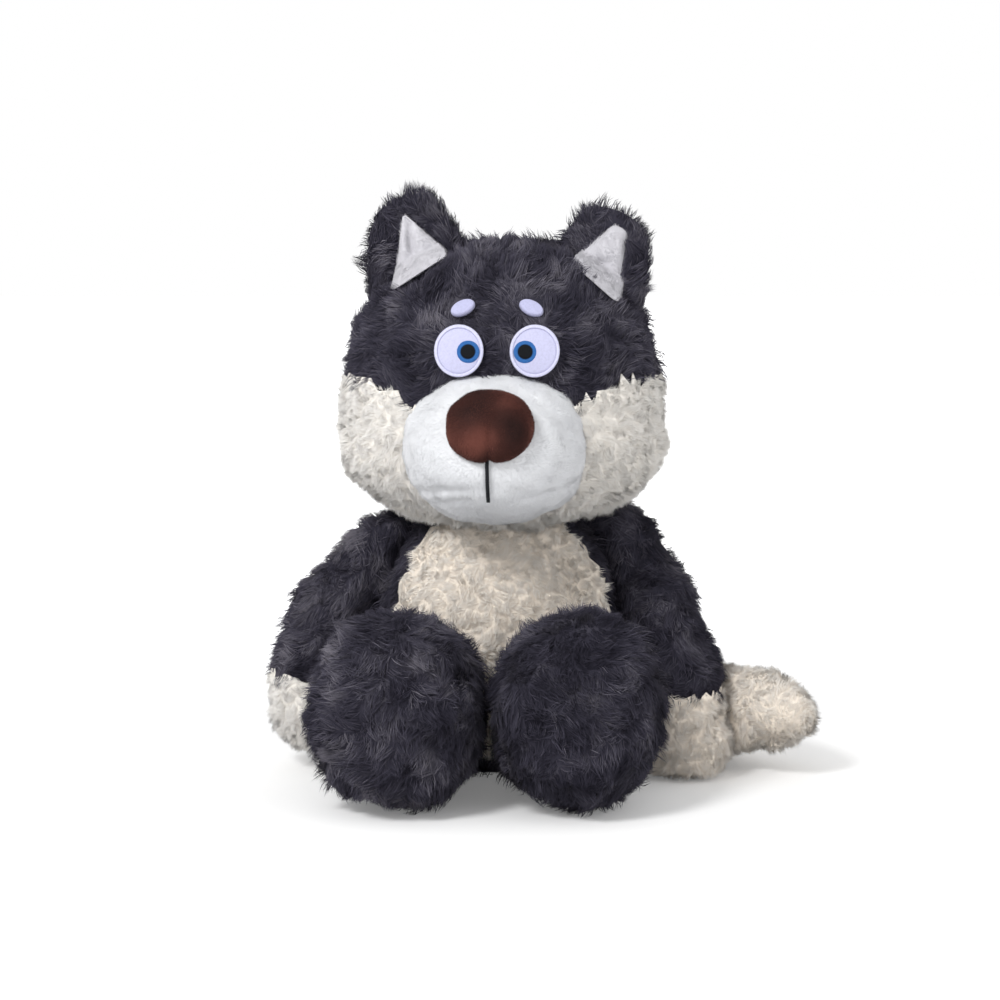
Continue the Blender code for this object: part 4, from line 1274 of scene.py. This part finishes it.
class HUSKY_OT_torso(bpy.types.Operator):
    """Grow the back and the chest"""

    bl_idname = "husky.torso"
    bl_label = "Torso"

    def execute(self, context):
        down, panels = along((0, 0.1, -1)), []
        halves = {"left": lambda points: points[:, 0] < 0, "right": lambda points: points[:, 0] >= 0}
        for name, half in halves.items():
            panels.append(Panel(f"back_fur_{name}", "back_skin", *CHARCOAL, down, half, under=0.96))
        panels.append(Panel("chest_fur", "chest_skin", *WARM, along((0, -0.2, -1))))
        beside = [FORMS[name] for name in ("head", "leg_left", "leg_right", "arm_left", "arm_right", "tail")]
        grow(context, FORMS["torso"], ["back_skin", "chest_skin"], panels, beside, seed=31)
        return {"FINISHED"}


class HUSKY_OT_arms(bpy.types.Operator):
    """Grow the sleeves and the paws"""

    bl_idname = "husky.arms"
    bl_label = "Arms"

    def execute(self, context):
        for side, name in SIDES:
            nodes = [f"sleeve_{name}", f"paw_{name}"]
            sleeve_lie, paw_lie = along((side * 0.25, -0.2, -1)), along((side * 0.3, -0.3, -1))
            # The right paw takes the warmer cream as painted warm shade, on the side away from the light.
            paw_coat = CREAM if side < 0 else WARM
            panels = [
                # The left sleeve and paw are lighter and the right ones darker: painted light and shade.
                Panel(f"sleeve_fur_{name}", nodes[0], *CHARCOAL, sleeve_lie, shade=0.04 - 0.08 * side),
                Panel(f"paw_fur_{name}", nodes[1], *paw_coat, paw_lie, shade=-0.08 * side),
            ]
            beside = [FORMS["head"], FORMS["torso"], FORMS[f"leg_{name}"]]
            grow(context, FORMS[f"arm_{name}"], nodes, panels, beside, seed=41 + side)
        return {"FINISHED"}


class HUSKY_OT_legs(bpy.types.Operator):
    """Grow the legs and the large feet"""

    bl_idname = "husky.legs"
    bl_label = "Legs"

    def execute(self, context):
        for side, name in SIDES:
            whorl = (side * 0.034 - 0.008, -0.120, 0.130)
            lie, node = away_from(whorl, (0, 0, -0.2)), f"leg_skin_{name}"
            # The right foot's tone is lowered: painted shade on the side away from the light.
            shade = -0.09 * (side + 1)
            panels = [
                Panel(f"foot_fur_{name}", node, *CHARCOAL, lie, lambda points: points[:, 1] < ANKLE, shade),
                Panel(f"leg_fur_{name}", node, *CHARCOAL, lie, lambda points: points[:, 1] >= ANKLE, under=0.82),
            ]
            beside = [FORMS["torso"], FORMS[f"arm_{name}"]]
            grow(context, FORMS[f"leg_{name}"], [node], panels, beside, seed=51 + side)
        return {"FINISHED"}


class HUSKY_OT_tail(bpy.types.Operator):
    """Grow the tail"""

    bl_idname = "husky.tail"
    bl_label = "Tail"

    def execute(self, context):
        panels = [
            Panel("tail_root_fur", "tail_root_skin", *CHARCOAL, along((1, 0, -0.1)), under=1.0),
            Panel("tail_tip_fur", "tail_tip_skin", *WARM, along((0.6, -1, 0)), under=1.6),
        ]
        beside = [FORMS["torso"], FORMS["arm_right"]]
        grow(context, FORMS["tail"], ["tail_root_skin", "tail_tip_skin"], panels, beside, seed=61)
        return {"FINISHED"}


class HUSKY_OT_forms(bpy.types.Operator):
    """Sew and stuff the bags that the fur grows on"""

    bl_idname = "husky.forms"
    bl_label = "Bags"

    def execute(self, context):
        make_forms(context.scene.husky_stuffing)
        return {"FINISHED"}


class HUSKY_OT_stuffing(bpy.types.Operator):
    """Give the loose stuffing its fibre"""

    bl_idname = "husky.stuffing"
    bl_label = "Stuffing"

    def execute(self, context):
        material, nodes, links = new_material("stuffing_fibre")
        colour = tuple(context.scene.husky_stuffing.colour)
        stops = [(0.3, tuple(0.8 * part for part in colour)), (0.7, colour)]
        surfaced(nodes, links, streaked(nodes, links, 140.0, 6.0, stops), 0.95, 0.5)
        for name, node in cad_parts.items():
            if "stuffing" in name:
                node.data.materials.clear()
                node.data.materials.append(material)
        return {"FINISHED"}


class HUSKY_OT_stage(bpy.types.Operator):
    """Set the floor, the lights and the camera"""

    bl_idname = "husky.stage"
    bl_label = "Stage"

    def execute(self, context):
        stage = context.scene.husky_stage
        scene = context.scene
        bm = bmesh.new()
        bmesh.ops.create_grid(bm, x_segments=1, y_segments=1, size=6.0)
        mesh = bpy.data.meshes.new("floor")
        bm.to_mesh(mesh)
        bm.free()
        floor = bpy.data.objects.new("floor", mesh)
        scene.collection.objects.link(floor)
        material, nodes, links = new_material("floor_paper")
        shader = nodes["Principled BSDF"]
        shader.inputs["Base Color"].default_value = (*stage.floor, 1.0)
        shader.inputs["Roughness"].default_value = 1.0
        shader.inputs["Specular IOR Level"].default_value = 0.0
        place = nodes.new("ShaderNodeTexCoord")
        far = nodes.new("ShaderNodeVectorMath")
        far.operation = "LENGTH"
        links.new(place.outputs["Object"], far.inputs[0])
        spread = nodes.new("ShaderNodeMapRange")
        fade = {"From Min": 0.18, "From Max": 0.6, "To Min": stage.lift, "To Max": 1.0}
        for socket, value in fade.items():
            spread.inputs[socket].default_value = value
        links.new(far.outputs["Value"], spread.inputs["Value"])
        rays = nodes.new("ShaderNodeLightPath")
        lift = nodes.new("ShaderNodeMath")
        lift.operation = "MULTIPLY"
        links.new(rays.outputs["Is Camera Ray"], lift.inputs[0])
        links.new(spread.outputs["Result"], lift.inputs[1])
        shader.inputs["Emission Color"].default_value = (1, 1, 1, 1)
        links.new(lift.outputs["Value"], shader.inputs["Emission Strength"])
        mesh.materials.append(material)

        world = bpy.data.worlds.new("room")
        world.use_nodes = True
        scene.world = world
        nodes, links = world.node_tree.nodes, world.node_tree.links
        rays = nodes.new("ShaderNodeLightPath")
        strength = nodes.new("ShaderNodeMix")
        strength.inputs["A"].default_value = stage.room
        strength.inputs["B"].default_value = 1.0
        seen = nodes.new("ShaderNodeMath")
        seen.operation = "MAXIMUM"
        links.new(rays.outputs["Is Camera Ray"], seen.inputs[0])
        links.new(rays.outputs["Is Transmission Ray"], seen.inputs[1])
        links.new(seen.outputs["Value"], strength.inputs["Factor"])
        background = nodes["Background"]
        background.inputs["Color"].default_value = (1, 1, 1, 1)
        links.new(strength.outputs["Result"], background.inputs["Strength"])

        self.lamp("key", (-0.85, -1.35, 1.40), 0.55, stage.key)
        self.lamp("fill", (1.3, -1.0, 0.7), 1.0, stage.fill)
        self.camera(scene)
        scene.view_settings.view_transform = "Standard"
        return {"FINISHED"}

    def lamp(self, name, place, size, power):
        """A round soft light that shines on the object."""
        light = bpy.data.lights.new(name, "AREA")
        light.shape, light.size, light.energy = "DISK", size, power
        lamp = bpy.data.objects.new(name, light)
        bpy.context.scene.collection.objects.link(lamp)
        lamp.location = place
        aim = Vector((0, 0, 0.15)) - Vector(place)
        lamp.rotation_euler = aim.to_track_quat("-Z", "Y").to_euler()

    def camera(self, scene):
        """As the photograph is taken: level with the feet's tops, with a long lens."""
        tilt, away, aim = math.radians(7.0), 1.5, Vector((-0.0007, -0.008, 0.155))
        lens = bpy.data.cameras.new("camera")
        lens.lens, lens.sensor_width = 94.5, 36.0
        camera = bpy.data.objects.new("camera", lens)
        scene.collection.objects.link(camera)
        camera.location = aim + Vector((0, -math.cos(tilt) * away, math.sin(tilt) * away))
        camera.rotation_euler = (math.pi / 2 - tilt, 0, 0)
        scene.camera = camera


class HUSKY_PT_panel(bpy.types.Panel):
    """Lists the makers and their sizes and colours"""

    bl_idname = "HUSKY_PT_panel"
    bl_label = "Plush Husky"
    bl_space_type = "VIEW_3D"
    bl_region_type = "UI"
    bl_category = "Husky"

    def draw(self, context):
        for operator in OPERATORS:
            self.layout.operator(operator.bl_idname)
        for name, group in GROUPS.items():
            box = self.layout.box()
            box.label(text=group.__doc__)
            for field in group.__annotations__:
                box.prop(getattr(context.scene, name), field)


GROUPS = {
    "husky_charcoal": CharcoalFur,
    "husky_cream": CreamFur,
    "husky_warm": WarmFur,
    "husky_muzzle": MuzzlePlush,
    "husky_ear": EarPlush,
    "husky_nose": NoseVelvet,
    "husky_face": HuskyFace,
    "husky_stuffing": HuskyStuffing,
    "husky_stage": HuskyStage,
}
OPERATORS = (
    HUSKY_OT_forms, HUSKY_OT_head, HUSKY_OT_muzzle, HUSKY_OT_nose, HUSKY_OT_eyes, HUSKY_OT_mouth,
    HUSKY_OT_ears, HUSKY_OT_torso, HUSKY_OT_arms, HUSKY_OT_legs, HUSKY_OT_tail, HUSKY_OT_stuffing,
    HUSKY_OT_stage,
)


def register():
    """Adds the groups, the operators and the panel."""
    for kind in (*GROUPS.values(), *OPERATORS, HUSKY_PT_panel):
        bpy.utils.register_class(kind)
    for name, group in GROUPS.items():
        setattr(bpy.types.Scene, name, PointerProperty(type=group))


def unregister():
    """Takes them away again."""
    for name in GROUPS:
        delattr(bpy.types.Scene, name)
    for kind in (HUSKY_PT_panel, *reversed(OPERATORS), *reversed(GROUPS.values())):
        bpy.utils.unregister_class(kind)


def main():
    """Makes everything in order."""
    register()
    for operator in OPERATORS:
        group, name = operator.bl_idname.split(".")
        getattr(getattr(bpy.ops, group), name)()


if __name__ == "__main__":
    main()
